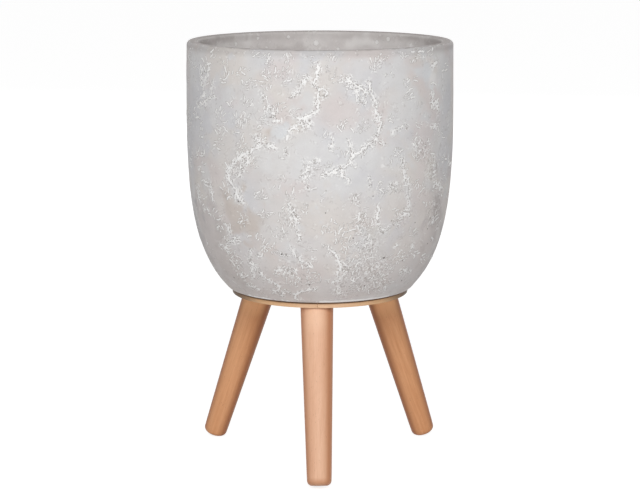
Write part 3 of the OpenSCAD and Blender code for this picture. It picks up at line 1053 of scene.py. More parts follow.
FLURRIES = tuple(Flurry(*row) for row in (
    (-56, 268, 9, 8, 10, 88), (-57, 252, 9, 10, 12, 88), (-51, 279, 6, 5, 9),
    (-28.5, 283, 6, 3, 8, 25), (-23.5, 282, 5, 3, 6), (-21.5, 275, 4, 4, 8),
    (-13, 280, 6, 7, 18, 80), (-5, 282, 8, 2, 5, 0), (-3, 273, 4, 4, 6), (-43, 273, 5, 5, 6, 80),
    (-33, 266, 7, 4, 10, 35), (-37, 262, 6, 2, 5, 5), (-42.5, 260, 4, 4, 6, 80),
    (-45, 253, 6, 4, 10, 20), (-22, 263, 9, 4, 12, 5), (-15.5, 264, 9, 6, 22, 75),
    (-26, 254, 8, 4, 14, 15), (-31, 250, 7, 7, 18, 50), (-21, 252, 3, 9, 12, 88),
    (-14, 254, 5, 4, 8), (-22.6, 230, 4, 8, 10, 80), (-17, 226, 6, 6, 14, 70),
    (-7.5, 257, 6, 6, 12, 60), (-11, 223, 6, 4, 8, 10), (-31, 230, 6, 5, 9, 60),
    (-40, 226, 4, 3, 4), (-46, 214, 7, 7, 14, 85), (-45.5, 203, 8, 5, 10, 0),
    (-46, 191, 7, 6, 10, 85), (-34, 212, 12, 5, 42, 60), (-36, 205, 5, 3, 7),
    (-34, 198, 3, 8, 5, 88), (-37, 196, 8, 2, 5, 8), (-23.5, 213, 7, 6, 16),
    (-20, 224, 5, 4, 9, 30), (-26.5, 193, 7, 4, 14), (-26, 202, 4, 3, 5), (-48.5, 181, 7, 4, 8, 10),
    (-60, 190, 6, 8, 10, 60), (-61, 204, 6, 4, 5, 10), (-59, 168, 5, 4, 6, 70),
    (-64, 164, 8, 5, 9, 20), (-62, 148, 8, 4, 7, 30), (-59, 155, 4, 3, 4), (-73, 158, 6, 2, 3, 5),
    (-66, 264, 8, 2, 4, 5), (-35, 184, 6, 7, 9, 40), (-66, 210, 5, 6, 5, 80),
    (-6.3, 155, 6, 10, 40, 60), (-2, 165, 6, 5, 26, 50), (-16, 146, 5, 5, 8, 50),
    (-16, 173, 4, 4, 4, 60), (-29.5, 163, 7, 6, 14), (-37, 157, 12, 10, 40, 50),
    (-33, 172, 12, 6, 24, 40), (-24, 187, 7, 5, 12), (5, 281, 5, 5, 8, 70), (2.5, 270, 3, 4, 5),
    (7, 258, 7, 4, 14, 30), (13.5, 249, 9, 4, 16, 20), (17, 236, 7, 6, 20, 70),
    (22.3, 273, 5, 5, 12, 40), (26, 281, 8, 4, 18, 20), (37, 281, 5, 5, 10, 70),
    (43, 284, 8, 4, 18, 10), (41.5, 275, 5, 4, 12, 40), (47, 279, 5, 2, 5, -20),
    (52.5, 283, 7, 4, 10, 30), (29.5, 261, 6, 3, 6, 70), (37.5, 251, 4, 5, 8, 50),
    (42, 256, 4, 2, 5, 0), (38.5, 236, 7, 5, 15, 20), (55, 249, 6, 2, 4, 0),
    (54, 226, 8, 9, 14, 60), (57, 199, 8, 4, 9, 20), (62, 188, 8, 4, 6, 0), (30, 213, 4, 4, 8, 60),
    (9, 207, 4, 6, 16, 80), (18, 207, 6, 5, 14, 30), (15, 201, 4, 4, 7, 40), (5, 182, 5, 3, 6, 10),
    (10, 177, 4, 4, 8, 70), (17.3, 176, 4, 5, 9, 85), (2, 197, 3, 3, 5, 50), (3, 164, 4, 3, 6, 20),
    (13, 164, 5, 4, 8), (4, 155, 12, 3, 14, 20), (22, 186, 4, 3, 5), (43.3, 186, 6, 7, 16, 70),
    (44.5, 167, 5, 6, 12, 80), (34, 176, 5, 5, 16, 75), (30, 166, 3, 3, 6, 85),
    (36.8, 158, 5, 9, 22, 80), (50.5, 180, 7, 4, 8, 20), (49.5, 169, 5, 5, 9, 60),
    (54.5, 163, 9, 8, 18, 10), (54, 145, 9, 4, 16, 20), (64, 160, 10, 6, 9, 0),
    (66, 262, 9, 6, 8, 5), (46.4, 201, 2, 4, 3, 90), (-43.5, 128, 5, 9, 12, 85),
    (-58, 135, 10, 4, 14, 8), (-52.7, 123, 3, 8, 8, 85), (-67, 126, 7, 6, 12, -50),
    (-60, 117, 10, 3, 8, 5), (-61, 104, 8, 4, 9, -20), (-53, 97, 10, 6, 22, 40),
    (-51.5, 84, 4, 4, 4, -60), (-45.5, 85, 7, 5, 13, 88), (-44.5, 72, 12, 7, 26, 30),
    (-50.5, 60, 9, 3, 9, 10), (-45, 49, 11, 9, 24, 30), (-44, 30, 8, 7, 14, 40),
    (-33, 38, 8, 10, 22, 60), (-29.5, 56, 4, 2, 5, 30), (-22, 13, 12, 5, 10, 15),
    (-16, 39, 13, 7, 34, 20), (-14, 26, 8, 5, 18, 80), (-17, 60, 5, 3, 12, 20),
    (-21, 67, 4, 7, 12, 80), (-26, 67, 5, 6, 14, 60), (-28, 77, 5, 4, 8, 40),
    (-33, 79, 4, 3, 6, 70), (-11.8, 66, 4, 6, 10, -60), (-5, 69, 8, 3, 9, 10),
    (-6, 50, 7, 6, 14, -40), (-3, 33, 9, 8, 20, 60), (-13.5, 104, 13, 13, 74, 70),
    (-24, 107, 9, 5, 16, 10), (-6.3, 115, 3, 7, 9, 80), (-26, 127, 9, 5, 18, 60),
    (-18, 139, 6, 4, 8, 40), (-18, 85, 8, 7, 16, 85), (-9.5, 80, 4, 5, 10, 30),
    (-36, 94, 6, 6, 9, 50), (-5, 138, 5, 2, 7, 0), (-12, 129, 7, 6, 12, 85),
    (15, 124, 6, 8, 24, 75), (17.8, 111, 3, 6, 9, 70), (17.5, 94, 15, 11, 86, 40),
    (8.5, 80, 6, 8, 16, 80), (2, 72, 4, 4, 8, 60), (13, 70, 9, 10, 26, 80), (21, 74, 7, 6, 20, 80),
    (21, 61, 15, 7, 34, 85), (21, 49, 22, 7, 56, 30), (30, 37, 19, 9, 84, 40),
    (15, 38, 11, 10, 34, 60), (30, 21, 22, 9, 56, -50), (19, 18, 10, 4, 18, 10),
    (10, 50, 4, 4, 9, 60), (33, 54, 6, 3, 9, 20), (40, 50, 11, 7, 26, 40), (48.5, 54, 11, 4, 16, 0),
    (45, 34, 9, 7, 20, 30), (60, 44, 10, 6, 16, -30), (63, 67, 5, 2, 5, -20),
    (35, 97, 9, 8, 34, 40), (38.5, 107, 5, 4, 9, 20), (33, 110, 4, 2, 5, 0),
    (32.5, 134, 11, 6, 34, 30), (26.5, 128, 6, 5, 12, 70), (25, 138, 4, 4, 9, 60),
    (38, 141, 4, 4, 9, 20), (44, 135, 7, 5, 9, 85), (48, 129, 3, 8, 7, 85),
    (52.5, 111, 6, 5, 11, 60), (58, 128, 8, 4, 14, 10), (65, 122, 10, 5, 16, -20),
    (61, 87, 5, 6, 8, 60), (67, 79, 6, 5, 8, 20), (45, 80, 6, 3, 7, 10), (5, 101, 5, 3, 7, 20),
    (2.5, 90, 6, 5, 12, 60), (9.5, 90, 4, 5, 12, 60), (0.5, 127, 2, 4, 5, 85),
    (66, 139, 6, 3, 7, 0),
))

INSIDE = spots(
    (182, 275, 3.2), (212.5, 282.5, 1.8), (207.5, 271, 1.5), (144, 282, 2.6), (150.5, 277.5, 2.2),
    (226, 277, 2.5), (129, 276, 3.0), (196, 283, 2.0), (171, 268, 1.8), (95, 262, 3.0),
    (262, 270, 2.4), (20, 262, 3.4), (318, 248, 2.8), (52, 231, 3.2), (188, 214, 3.0),
    (250, 190, 4.0), (118, 172, 3.0), (6, 140, 3.6),
)

# Marks on the inside; near the rim the pale ones are painted light and the damp ones painted shade
SMEARS_LIGHT_AND_SHADE = stains(
    (Tone.SMEAR, 159, 277, 20, 8), (Tone.SMEAR, 218, 279, 7, 12), (Tone.SMEAR, 238, 276, 14, 9),
    (Tone.SMEAR, 130, 276, 13, 9), (Tone.DAMP, 196, 268, 30, 5), (Tone.DAMP, 232, 285, 24, 4),
    (Tone.DAMP, 128, 285, 24, 4), (Tone.DAMP, 253, 283, 24, 9), (Tone.DAMP, 107, 283, 24, 9),
    (Tone.SMEAR, 84, 210, 40, 26), (Tone.DAMP, 280, 190, 34, 40), (Tone.SMEAR, 20, 160, 36, 30),
    (Tone.DAMP, 180, 120, 60, 24),
)

# The skin's stains; the SLATE ones are painted shade on the pot's two sides
STAINS_AND_SHADE = stains(
    (Tone.PALE, -10, 170, 48, 38), (Tone.PALE, 6, 148, 44, 26), (Tone.PALE, 14, 196, 30, 24),
    (Tone.CREAM, 2, 262, 34, 18), (Tone.CREAM, -38, 262, 22, 18), (Tone.COOL, -50, 232, 26, 26),
    (Tone.PALE, -30, 226, 30, 26), (Tone.COOL, 24, 262, 34, 18), (Tone.PALE, 36, 228, 26, 34),
    (Tone.COOL, 33, 180, 20, 20), (Tone.PINK, 56, 226, 18, 30), (Tone.PINK, 48, 196, 22, 22),
    (Tone.PINK, -18, 214, 24, 26), (Tone.CREAM, -44, 184, 28, 20), (Tone.PINK, 8, 226, 24, 20),
    (Tone.CREAM, -46, 118, 34, 30), (Tone.BROWN, -30, 99, 17, 13), (Tone.BROWN, -20, 200, 11, 6),
    (Tone.PINK, -42, 96, 26, 20), (Tone.CREAM, 0, 104, 36, 30), (Tone.PALE, -1, 68, 26, 16),
    (Tone.PALE, -20, 84, 24, 18), (Tone.CREAM, 34, 118, 26, 30), (Tone.CREAM, 40, 66, 24, 22),
    (Tone.PINK, 60, 70, 24, 26), (Tone.GREY, -16, 26, 46, 18), (Tone.PINK, -4, 38, 22, 12),
    (Tone.GREY, 26, 20, 40, 16), (Tone.GREY, -60, 52, 36, 34), (Tone.COOL, -68, 208, 20, 34),
    (Tone.GREEN, 24, 84, 18, 14), (Tone.COOL, 66, 170, 20, 50), (Tone.MIST, -16, 199, 14, 11),
    (Tone.CHALK, 31.4, 197, 4.5, 5), (Tone.PALE, -70, 262, 26, 24), (Tone.PALE, 30, 172, 30, 24),
    (Tone.GREY, -66, 100, 20, 26), (Tone.GREY, -30, 74, 12, 8), (Tone.CHALK, 54, 254, 12, 12),
    (Tone.PALE, 66, 254, 22, 24), (Tone.PALE, 14, 170, 24, 20), (Tone.GREY, 64, 66, 22, 34),
    (Tone.MIST, 44, 12, 28, 10), (Tone.CHALK, 34, 2, 44, 6), (Tone.PALE, 34, 262, 20, 18),
    (Tone.COOL, 16, 30, 34, 20), (Tone.GREY, -54, 92, 20, 46), (Tone.BROWN, -39, 101, 20, 22),
    (Tone.GREY, -50, 40, 20, 18), (Tone.GREY, 63, 106, 18, 36), (Tone.MIST, 50, 262, 13, 20),
    (Tone.PALE, 27, 68, 18, 20), (Tone.PALE, -16, 62, 18, 11), (Tone.PALE, -50, 222, 18, 20),
    (Tone.PALE, 42, 232, 12, 22), (Tone.PALE, -22, 212, 12, 12), (Tone.PALE, 31, 28, 14, 12),
    (Tone.SLATE, -82, 60, 29, 66), (Tone.SLATE, 83, 36, 36, 46), (Tone.GREY, 76, 148, 14, 16),
    (Tone.MIST, 19, 74, 14, 16), (Tone.MIST, -15, 62, 20, 12), (Tone.DAMP, -50, 32, 30, 22),
    (Tone.DAMP, -50, 80, 14, 20), (Tone.BROWN, -33, 90, 14, 14), (Tone.DAMP, 63, 92, 12, 24),
)


class Marks:
    """Marks on the wall, kept so that the ones near a point are found quickly."""

    def __init__(self, marks: Sequence[Union[Spot, Stain]],
                 on_wall: Callable[[float, float], Vector], reach: float) -> None:
        """Sorts the marks by place.

        Args:
            marks: The marks.
            on_wall: Gives the point of the wall at so many degrees from the front and so far up.
            reach: How far from its middle a mark can still be seen, in millimetres.
        """
        self.marks = [(on_wall(*mark.at), mark) for mark in marks]
        self.reach = reach
        self.tree = kdtree.KDTree(len(self.marks))
        for index, (place, _) in enumerate(self.marks):
            self.tree.insert(place, index)
        self.tree.balance()

    def near(self, point: Vector) -> list[tuple[Vector, Union[Spot, Stain]]]:
        """The marks that may cover a point, each with its place, in the order they were given."""
        found = sorted(index for _, index, _ in self.tree.find_range(point, self.reach))
        return [self.marks[index] for index in found]

    def cover(self, point: Vector) -> float:
        """Works out how strongly a point lies in any of these spots.

        Args:
            point: The point.

        Returns:
            1 well inside a spot, 0 outside them all.
        """
        depths = [ease((place - point).length, spot.radius * 1.4, spot.radius * 0.4)
                  for place, spot in self.near(point)]
        return max(depths, default=0.0)


@dataclass(frozen=True)
class Strand:
    """A straight stretch of white filler with round ends.

    Attributes:
        start: Its first point, in millimetres above the pot's base.
        end: Its last point.
        half: Half its width at the start, in millimetres.
        grow: How much more that is at its end.
    """

    start: Vector
    end: Vector
    half: float
    grow: float = 0.0

    def away(self, point: Vector) -> float:
        """Measures how far a point lies outside the strand.

        Args:
            point: The point.

        Returns:
            The distance in millimetres, below 0 inside it.
        """
        along = self.end - self.start
        size = along.length_squared
        share = min(1.0, max(0.0, (point - self.start).dot(along) / size)) if size else 0.0
        return (point - self.start - along * share).length - self.half - self.grow * share


class Strands:
    """All the strands of the pot, kept so that the ones near a point are found quickly."""

    def __init__(self, strands: Sequence[Strand], spacing: float = 1.0) -> None:
        """Sorts the strands by place.

        Args:
            strands: The strands.
            spacing: How far apart the points lie by which a strand is found, in millimetres.
        """
        self.strands = list(strands)
        points = []
        for index, strand in enumerate(self.strands):
            steps = max(1, math.ceil((strand.end - strand.start).length / spacing))
            points += [(strand.start.lerp(strand.end, i / steps), index) for i in range(steps + 1)]
        self.tree = kdtree.KDTree(len(points))
        for point, index in points:
            self.tree.insert(point, index)
        self.tree.balance()
        self.widest = max(max(s.half, s.half + s.grow) for s in self.strands)

    def nearest(self, point: Vector) -> float:
        """How far a point lies outside the strand whose middle line is nearest to it."""
        return self.strands[self.tree.find(point)[1]].away(point)

    def around(self, point: Vector, reach: float, most: int) -> list[Strand]:
        """Finds the strands that come near a point.

        Args:
            point: The point.
            reach: How far outside a strand the point may lie, in millimetres.
            most: How many strands are wanted.

        Returns:
            The nearest of them, the nearest first.
        """
        found = {index for _, index, _ in self.tree.find_range(point, reach + self.widest)}
        near = sorted((self.strands[index].away(point), index) for index in found)
        return [self.strands[index] for away, index in near[:most] if away < reach]


@dataclass
class Skin:
    """The pattern of the pot's outside.

    Attributes:
        radius_at: Gives the pot's outside radius at a height above its base, in millimetres.
        height: Height of the pot in millimetres.
        wall_t: Thickness of its wall.
        seed: What the sides and the back are drawn from.
        shown: How far round from the front the listed pattern reaches, in degrees.
    """

    radius_at: Callable[[float], float]
    height: float
    wall_t: float
    seed: int = 41
    shown: float = 72.0
    extra_veins: int = 58
    extra_spots: int = 26
    extra_flurries: int = 90
    longest: float = 2.4
    tries: int = 4
    apart: float = 1.9
    gap_share: float = 0.07
    strands: Strands = field(init=False)
    cracks: Strands = field(init=False)
    rough: Marks = field(init=False)
    pits: Marks = field(init=False)
    stains: Marks = field(init=False)
    smears_light_and_shade: Marks = field(init=False)

    def __post_init__(self) -> None:
        """Draws the whole pattern once."""
        rng, wild = random.Random(self.seed), random.Random(self.seed + 1)
        veins = list(VEINS) + [self.stray(wild) for _ in range(self.extra_veins)]
        veins += [twig for vein in list(veins) for twig in self.twigs(vein, rng)]
        strands = [strand for vein in veins for strand in self.lay(vein, rng)]
        rough = [self.anywhere(wild, 8, 18) for _ in range(self.extra_spots // 2)]
        filled = [self.anywhere(wild, 2, 5) for _ in range(self.extra_spots)]
        pits = [self.anywhere(wild, 0.6, 1.0) for _ in range(self.extra_spots)]
        for spot in list(FILLED) + filled:
            strands += self.blot(spot, rng)
        strands += [self.dab(spot) for spot in INSIDE]
        self.cracks = Strands(strands)
        flurries = [self.scattered(wild) for _ in range(self.extra_flurries)]
        for flurry in list(FLURRIES) + flurries:
            strands += self.strokes(flurry, rng)
        self.strands = Strands(strands)
        self.rough = Marks(list(ROUGH) + rough, self.on_wall, 38.0)
        self.pits = Marks(list(PITS) + pits, self.on_wall, 6.0)
        self.stains = Marks(STAINS_AND_SHADE, self.on_wall, 62.0)
        self.smears_light_and_shade = Marks(SMEARS_LIGHT_AND_SHADE, self.on_wall, 80.0)

    def dab(self, spot: Spot) -> Strand:
        """Puts a round dab of filler on the inside of the wall.

        Args:
            spot: Where it is and how large.

        Returns:
            The dab.
        """
        place = self.on_wall(*spot.at)
        place -= outwards(place) * self.wall_t
        return Strand(place, place, spot.radius)

    def blot(self, spot: Spot, rng: random.Random) -> list[Strand]:
        """Draws an uneven patch of filler.

        Args:
            spot: Where it is and how large.
            rng: Where its chances come from.

        Returns:
            The strands that make it up.
        """
        made = []
        for _ in range(4):
            heading, reach = rng.uniform(0, math.tau), rng.uniform(0.3, 0.9) * spot.radius
            across = math.degrees(reach * math.cos(heading) / self.radius_at(spot.at[1]))
            end = self.on_wall(spot.at[0] + across, spot.at[1] + reach * math.sin(heading))
            half = rng.uniform(0.3, 0.55) * spot.radius
            made.append(Strand(self.on_wall(*spot.at), end, half, -0.45 * half))
        return made

    def scattered(self, rng: random.Random) -> Flurry:
        """Draws a random flurry on the sides or the back.

        Args:
            rng: Where its chances come from.

        Returns:
            The flurry.
        """
        spot = self.anywhere(rng, 5, 16)
        return Flurry(*spot.at, spot.radius, rng.uniform(4, 14), rng.randint(6, 44),
                      rng.uniform(0, 180))

    @staticmethod
    def slant(degrees: float) -> float:
        """How much wider marks are drawn towards the two sides of the listed part."""
        turn = abs(degrees)
        return 1.0 + 0.7 * ease(turn, 25.0, 60.0) * ease(turn, 95.0, 78.0)

    def strokes(self, flurry: Flurry, rng: random.Random) -> list[Strand]:
        """Draws the strokes of a flurry, each clear of the others.

        Args:
            flurry: Where they lie and how they run.
            rng: Where their chances come from.

        Returns:
            The strands that make them up.
        """
        made, taken, left = [], [], flurry.count
        for _ in range(self.tries * flurry.count):
            stroke = self.stroke(flurry, rng)
            along = [strand.start.lerp(strand.end, i / 2) for strand in stroke for i in range(3)]
            apart = self.apart * self.slant(flurry.degrees)
            if any((point - other).length < apart for point in along for other in taken):
                continue
            made += stroke
            taken += along
            left -= 1
            if not left:
                break
        return made

    def stroke(self, flurry: Flurry, rng: random.Random) -> list[Strand]:
        """Draws one stroke of up to three stretches somewhere in a flurry.

        Args:
            flurry: The flurry.
            rng: Where its chances come from.

        Returns:
            The stretches.
        """
        out, way = math.sqrt(rng.random()), rng.uniform(0, math.tau)
        up = flurry.up + out * flurry.high * math.sin(way)
        up = min(self.height - 2.0, max(2.0, up))
        radius = self.radius_at(up)
        turn = flurry.degrees + math.degrees(out * flurry.across * math.cos(way) / radius)
        heading = math.radians(flurry.lean + rng.gauss(0, 30))
        wide = self.slant(turn)
        half = (0.25 + 0.42 * rng.random() ** 1.6) * wide
        places = [self.on_wall(turn, up)]
        for _ in range(rng.choice((1, 2, 2, 3))):
            stride = rng.uniform(1.3, 3.0)
            turn += math.degrees(stride * math.cos(heading) * wide / radius)
            up = min(self.height - 2.0, max(2.0, up + stride * math.sin(heading)))
            places.append(self.on_wall(turn, up))
            heading += rng.gauss(0, 0.5)
        return [Strand(a, b, half) for a, b in zip(places, places[1:])]

    def on_wall(self, degrees: float, up: float) -> Vector:
        """The point of the wall that is so many degrees from the front and so far up."""
        radius, angle = self.radius_at(up), math.radians(degrees)
        return Vector((radius * math.sin(angle), -radius * math.cos(angle), up))

    def away(self, rng: random.Random) -> float:
        """A random direction outside the listed part, in degrees from the front."""
        return rng.uniform(self.shown, 360.0 - self.shown)

    def anywhere(self, rng: random.Random, least: float, most: float) -> Spot:
        """A random spot outside the listed part, with a radius between two sizes."""
        up = self.height * rng.uniform(0.04, 0.97)
        return Spot((self.away(rng), up), rng.uniform(least, most))

    def stray(self, rng: random.Random) -> Vein:
        """Draws a wandering vein on the sides or the back.

        Args:
            rng: Where its chances come from.

        Returns:
            The vein.
        """
        at = Vector((self.away(rng), self.height * rng.uniform(0.05, 0.95)))
        heading = rng.uniform(0, math.tau)
        course = [(at.x, at.y)]
        for _ in range(rng.choice((2, 3, 4, 6, 9, 12))):
            heading += rng.gauss(0, 0.55)
            stride = rng.uniform(6, 11)
            across = math.degrees(stride * math.cos(heading) / self.radius_at(at.y))
            at = Vector((at.x + across, at.y + stride * math.sin(heading)))
            if not (self.shown < at.x < 360 - self.shown and 6 < at.y < self.height - 10):
                break
            course.append((at.x, at.y))
        if len(course) == 1:
            course.append((course[0][0] + 1.5, course[0][1] + 2.0))
        return Vein(tuple(course), rng.uniform(0.45, 1.1), rng.uniform(2.5, 5.5))

    def twigs(self, vein: Vein, rng: random.Random) -> list[Vein]:
        """Draws the short side cracks of a vein.

        Args:
            vein: The vein that they leave.
            rng: Where their chances come from.

        Returns:
            The side cracks.
        """
        made = []
        for (a0, u0), (a1, u1) in zip(vein.course, vein.course[1:]):
            for _ in range(rng.choice((2, 2, 3, 4))):
                share = rng.random()
                at = Vector((a0 + (a1 - a0) * share, u0 + (u1 - u0) * share))
                heading = rng.uniform(0, math.tau)
                course = [(at.x, at.y)]
                for _ in range(rng.choice((1, 1, 2, 3))):
                    stride = rng.uniform(0.25, 0.65) * vein.fray
                    heading += rng.gauss(0, 0.8)
                    across = math.degrees(stride * math.cos(heading) / self.radius_at(at.y))
                    at = Vector((at.x + across, at.y + stride * math.sin(heading)))
                    course.append((at.x, min(self.height - 6, max(4.0, at.y))))
                width = vein.width * rng.uniform(0.4, 0.75)
                made.append(Vein(tuple(course), width, vein.fray * 0.5))
        return made

    def roughened(self, course: Sequence[Point], rng: random.Random) -> list[Point]:
        """Breaks a course up like a coastline by moving the middle of each stretch aside.

        Args:
            course: The points to break up.
            rng: Where the moves come from.

        Returns:
            The points of the broken course.
        """
        points = list(course)
        for _ in range(3):
            finer = [points[0]]
            for (a0, u0), (a1, u1) in zip(points, points[1:]):
                up = (u0 + u1) / 2
                radius = self.radius_at(up)
                across = math.radians(a1 - a0) * radius
                if math.hypot(across, u1 - u0) > self.longest:
                    push = rng.gauss(0, 0.20)
                    turn = math.degrees((u1 - u0) * push / radius)
                    finer.append(((a0 + a1) / 2 - turn, up + across * push))
                finer.append((a1, u1))
            points = finer
        return points

    def lay(self, vein: Vein, rng: random.Random) -> list[Strand]:
        """Lays a vein on the wall.

        Args:
            vein: The vein.
            rng: Where the moves that break it up come from.

        Returns:
            Its strands, of uneven width, with a stretch left out here and there.
        """
        course = self.roughened(vein.course, rng)
        places = [self.on_wall(degrees, up) for degrees, up in course]
        widths = [vein.width * self.slant(degrees) * rng.uniform(0.45, 1.2)
                  for degrees, _ in course]
        widths[0], widths[-1] = widths[0] * 0.7, widths[-1] * 0.5
        return [Strand(a, b, wa, wb - wa)
                for a, b, wa, wb in zip(places, places[1:], widths, widths[1:])
                if rng.random() > self.gap_share]

    def tone(self, point: Vector, degrees: float, up: float) -> Rgb:
        """Mixes the skin's tone at a point.

        Args:
            point: The point of the wall.
            degrees: Its direction from the front.
            up: Its height above the pot's base, in millimetres.

        Returns:
            The linear colour there.
        """
        drift = [noise.noise(point / size + Vector((0, 0, size))) for size in (58.0, 43.0, 30.0)]
        colour = blend(Tone.COOL.value, Tone.CREAM.value, ease(drift[0], -0.35, 0.25))
        colour = blend(colour, Tone.PINK.value, 0.8 * ease(drift[1], 0.0, 0.45))
        colour = blend(colour, Tone.PALE.value, 0.7 * ease(drift[2], 0.1, 0.45))
        colour = self.stained(colour, self.stains, point, degrees, up)
        return blend(colour, Tone.WARM.value, 0.55 * ease(up, 140.0, 30.0))

    def stained(self, colour: Rgb, stains: Marks, point: Vector, degrees: float,
                up: float) -> Rgb:
        """Lays stains over a colour, with the patches of painted shade and light among them.

        Args:
            colour: The colour without them.
            stains: The stains, with the painted shade and light among them.
            point: The point of the wall.
            degrees: Its direction from the front.
            up: Its height above the pot's base, in millimetres.

        Returns:
            The linear colour there.
        """
        ragged = 1.0 + 0.8 * noise.fractal(point / 16.0, 1.0, 2.0, 3)
        radius = self.radius_at(up)
        for _, stain in stains.near(point):
            turn = (degrees - stain.at[0] + 180.0) % 360.0 - 180.0
            across = math.radians(turn) * radius / stain.reach[0]
            far = math.hypot(across, (up - stain.at[1]) / stain.reach[1]) * ragged
            colour = blend(colour, stain.tone.value, 0.75 * ease(far, 1.25, 0.4))
        return colour


# The sub-assemblies ------------


@dataclass
class Planter:
    """The cast pot with its drain plug.

    Attributes:
        base_z: Height of the pot's base above the floor, in millimetres.
        rim_z: Height of its rim.
        rim_r: Outside radius at the rim.
        base_r: Radius of the flat base.
    """

    base_z: float
    rim_z: float
    rim_r: float = 155.5
    base_r: float = 108.5
    low_pull: Point = (54.5, 52.0)
    high_pull: Point = (1.5, 127.0)
    wall_t: float = 14.0
    floor_t: float = 14.0
    lip_round: float = 4.5
    base_blend: float = 2.0
    base_rise: float = 1.2
    floor_blend: float = 16.0
    drain_r: float = 10.0
    hole_ease: float = 0.8
    steps_round: int = 440
    steps_wall: int = 152
    shown_share: float = 0.14
    steps_shown: int = 16
    steps_inside: int = 19
    crowding: float = 0.38
    radii_kept: int = 400
    steps_lip: int = 8
    steps_blend: int = 6
    swell: float = 0.42
    ridge: float = 0.28
    mark_reach: float = 2.6
    plug_gap: float = 0.3
    plug_taper: float = 0.7
    plug_flange: Point = (17.0, 3.0)
    plug_round: float = 1.5
    plug_ring: tuple[float, float, float] = (8.0, 9.2, 0.6)

    def wall(self) -> tuple[Point, ...]:
        """Lists the control points of the outside wall's curve.

        Returns:
            The points, from the base's edge to the lip.
        """
        low = (self.base_r, self.base_z)
        high = (self.rim_r, self.rim_z - self.lip_round)
        return (low, (low[0] + self.low_pull[0], low[1] + self.low_pull[1]),
                (high[0] + self.high_pull[0], high[1] - self.high_pull[1]), high)

    def outside(self, share: float) -> Point:
        """The point so far up the outside of the wall."""
        return curve(self.wall(), share)

    def inside(self, share: float) -> Point:
        """Finds the point of the inside that faces a point of the outside.

        Args:
            share: How far up the outside that point is, 0 to 1.

        Returns:
            The point.
        """
        near, far = self.outside(max(0.0, share - 1e-3)), self.outside(min(1.0, share + 1e-3))
        along = Vector((far[0] - near[0], far[1] - near[1])).normalized()
        here = self.outside(share)
        return (here[0] - self.wall_t * along.y, here[1] + self.wall_t * along.x)

    def share_at(self, line: Callable[[float], Point], height: float) -> float:
        """Finds how far up the outside or the inside a height is reached, by halving.

        Args:
            line: Either of the two.
            height: The height above the floor.

        Returns:
            The share of the line, 0 to 1.
        """
        low, high = 0.0, 1.0
        for _ in range(30):
            middle = (low + high) / 2
            low, high = (middle, high) if line(middle)[1] < height else (low, middle)
        return low

    def radius_at(self, up: float) -> float:
        """Reads the outside radius from a list that is made once.

        Args:
            up: The height above the pot's base.

        Returns:
            The radius there.
        """
        top, last = self.rim_z - self.base_z, self.radii_kept
        if not hasattr(self, "_radii"):
            shares = [self.share_at(self.outside, self.base_z + top * i / last)
                      for i in range(last + 1)]
            self._radii = [self.outside(share)[0] for share in shares]
        place = min(1.0, max(0.0, up / top)) * last
        low = min(int(place), last - 1)
        return self._radii[low] + (self._radii[low + 1] - self._radii[low]) * (place - low)

    def profile(self) -> list[Point]:
        """Lists the whole section of the shell, from the drain hole out, over the lip and back.

        Returns:
            Its (radius, height) points in order.
        """
        start = self.share_at(self.outside, self.base_z + self.base_rise)
        end = self.share_at(self.inside, self.base_z + self.floor_t + self.floor_blend * 0.7)
        floor_z = self.base_z + self.floor_t
        base_edge = ((self.base_r - self.base_blend, self.base_z), (self.base_r, self.base_z),
                     self.outside(start))
        corner = (self.inside(self.share_at(self.inside, floor_z))[0], floor_z)
        floor_edge = (self.inside(end), corner, (corner[0] - self.floor_blend, floor_z))
        steps = self.steps_blend
        lip_z = self.rim_z - self.lip_round
        lip_out, lip_in = self.rim_r - self.lip_round, self.rim_r - self.wall_t + self.lip_round
        hidden = 1 - self.shown_share
        points = [(self.drain_r, self.base_z + self.hole_ease),
                  (self.drain_r + self.hole_ease, self.base_z)]
        points += [curve(base_edge, i / steps) for i in range(steps + 1)]
        points += [self.outside(start + (1 - start) * i / self.steps_wall)
                   for i in range(1, self.steps_wall + 1)]
        points += arc((lip_out, lip_z), self.lip_round, 0, 90, self.steps_lip)[1:]
        points += arc((lip_in, lip_z), self.lip_round, 90, 180, self.steps_lip)
        points += [self.inside(1 - self.shown_share * i / self.steps_shown)
                   for i in range(1, self.steps_shown + 1)]
        points += [self.inside(hidden - (hidden - end) * i / self.steps_inside)
                   for i in range(1, self.steps_inside + 1)]
        points += [curve(floor_edge, i / steps) for i in range(1, steps + 1)]
        points += [(self.drain_r + self.hole_ease, floor_z),
                   (self.drain_r, floor_z - self.hole_ease)]
        return points

    def crowd(self, work: Workpiece) -> None:
        """Turns the pot's columns of faces closer together towards its front.

        Args:
            work: The pot.
        """
        for vert in work.bm.verts:
            turn = -self.crowding * math.sin(math.atan2(vert.co.x, -vert.co.y))
            vert.co = Matrix.Rotation(turn, 3, "Z") @ vert.co

    def paint(self, work: Workpiece, skin: Skin) -> None:
        """Presses the relief into the pot and stores its pattern in its points and faces.

        Args:
            work: The pot, in millimetres.
            skin: The pattern.
        """
        layers = work.bm.verts.layers
        levels = {name: layers.float.new(name) for name in ("frayed", "rough", "inner", "worn_and_highlit")}
        tone = layers.float_color.new("tone")
        sunk = {}
        for vert in work.bm.verts:
            up = vert.co.z - self.base_z
            degrees = math.degrees(math.atan2(vert.co.x, -vert.co.y))
            point = Vector((vert.co.x, vert.co.y, up))
            kept, colour = self.skin_at(skin, point, degrees, up)
            for name, layer in levels.items():
                vert[layer] = kept.get(name, 0.0)
            vert[tone] = (*colour, 1.0)
            sunk[vert.index] = Vector()
            if kept["inner"] < 0.5 and up > 1.0:
                depth = self.sink(point, kept["far"])
                sunk[vert.index] = outwards(vert.co) * depth * ease(up, 1.0, 8.0)
        self.mark(work, skin, sunk)
        for vert in work.bm.verts:
            vert.co -= sunk[vert.index]

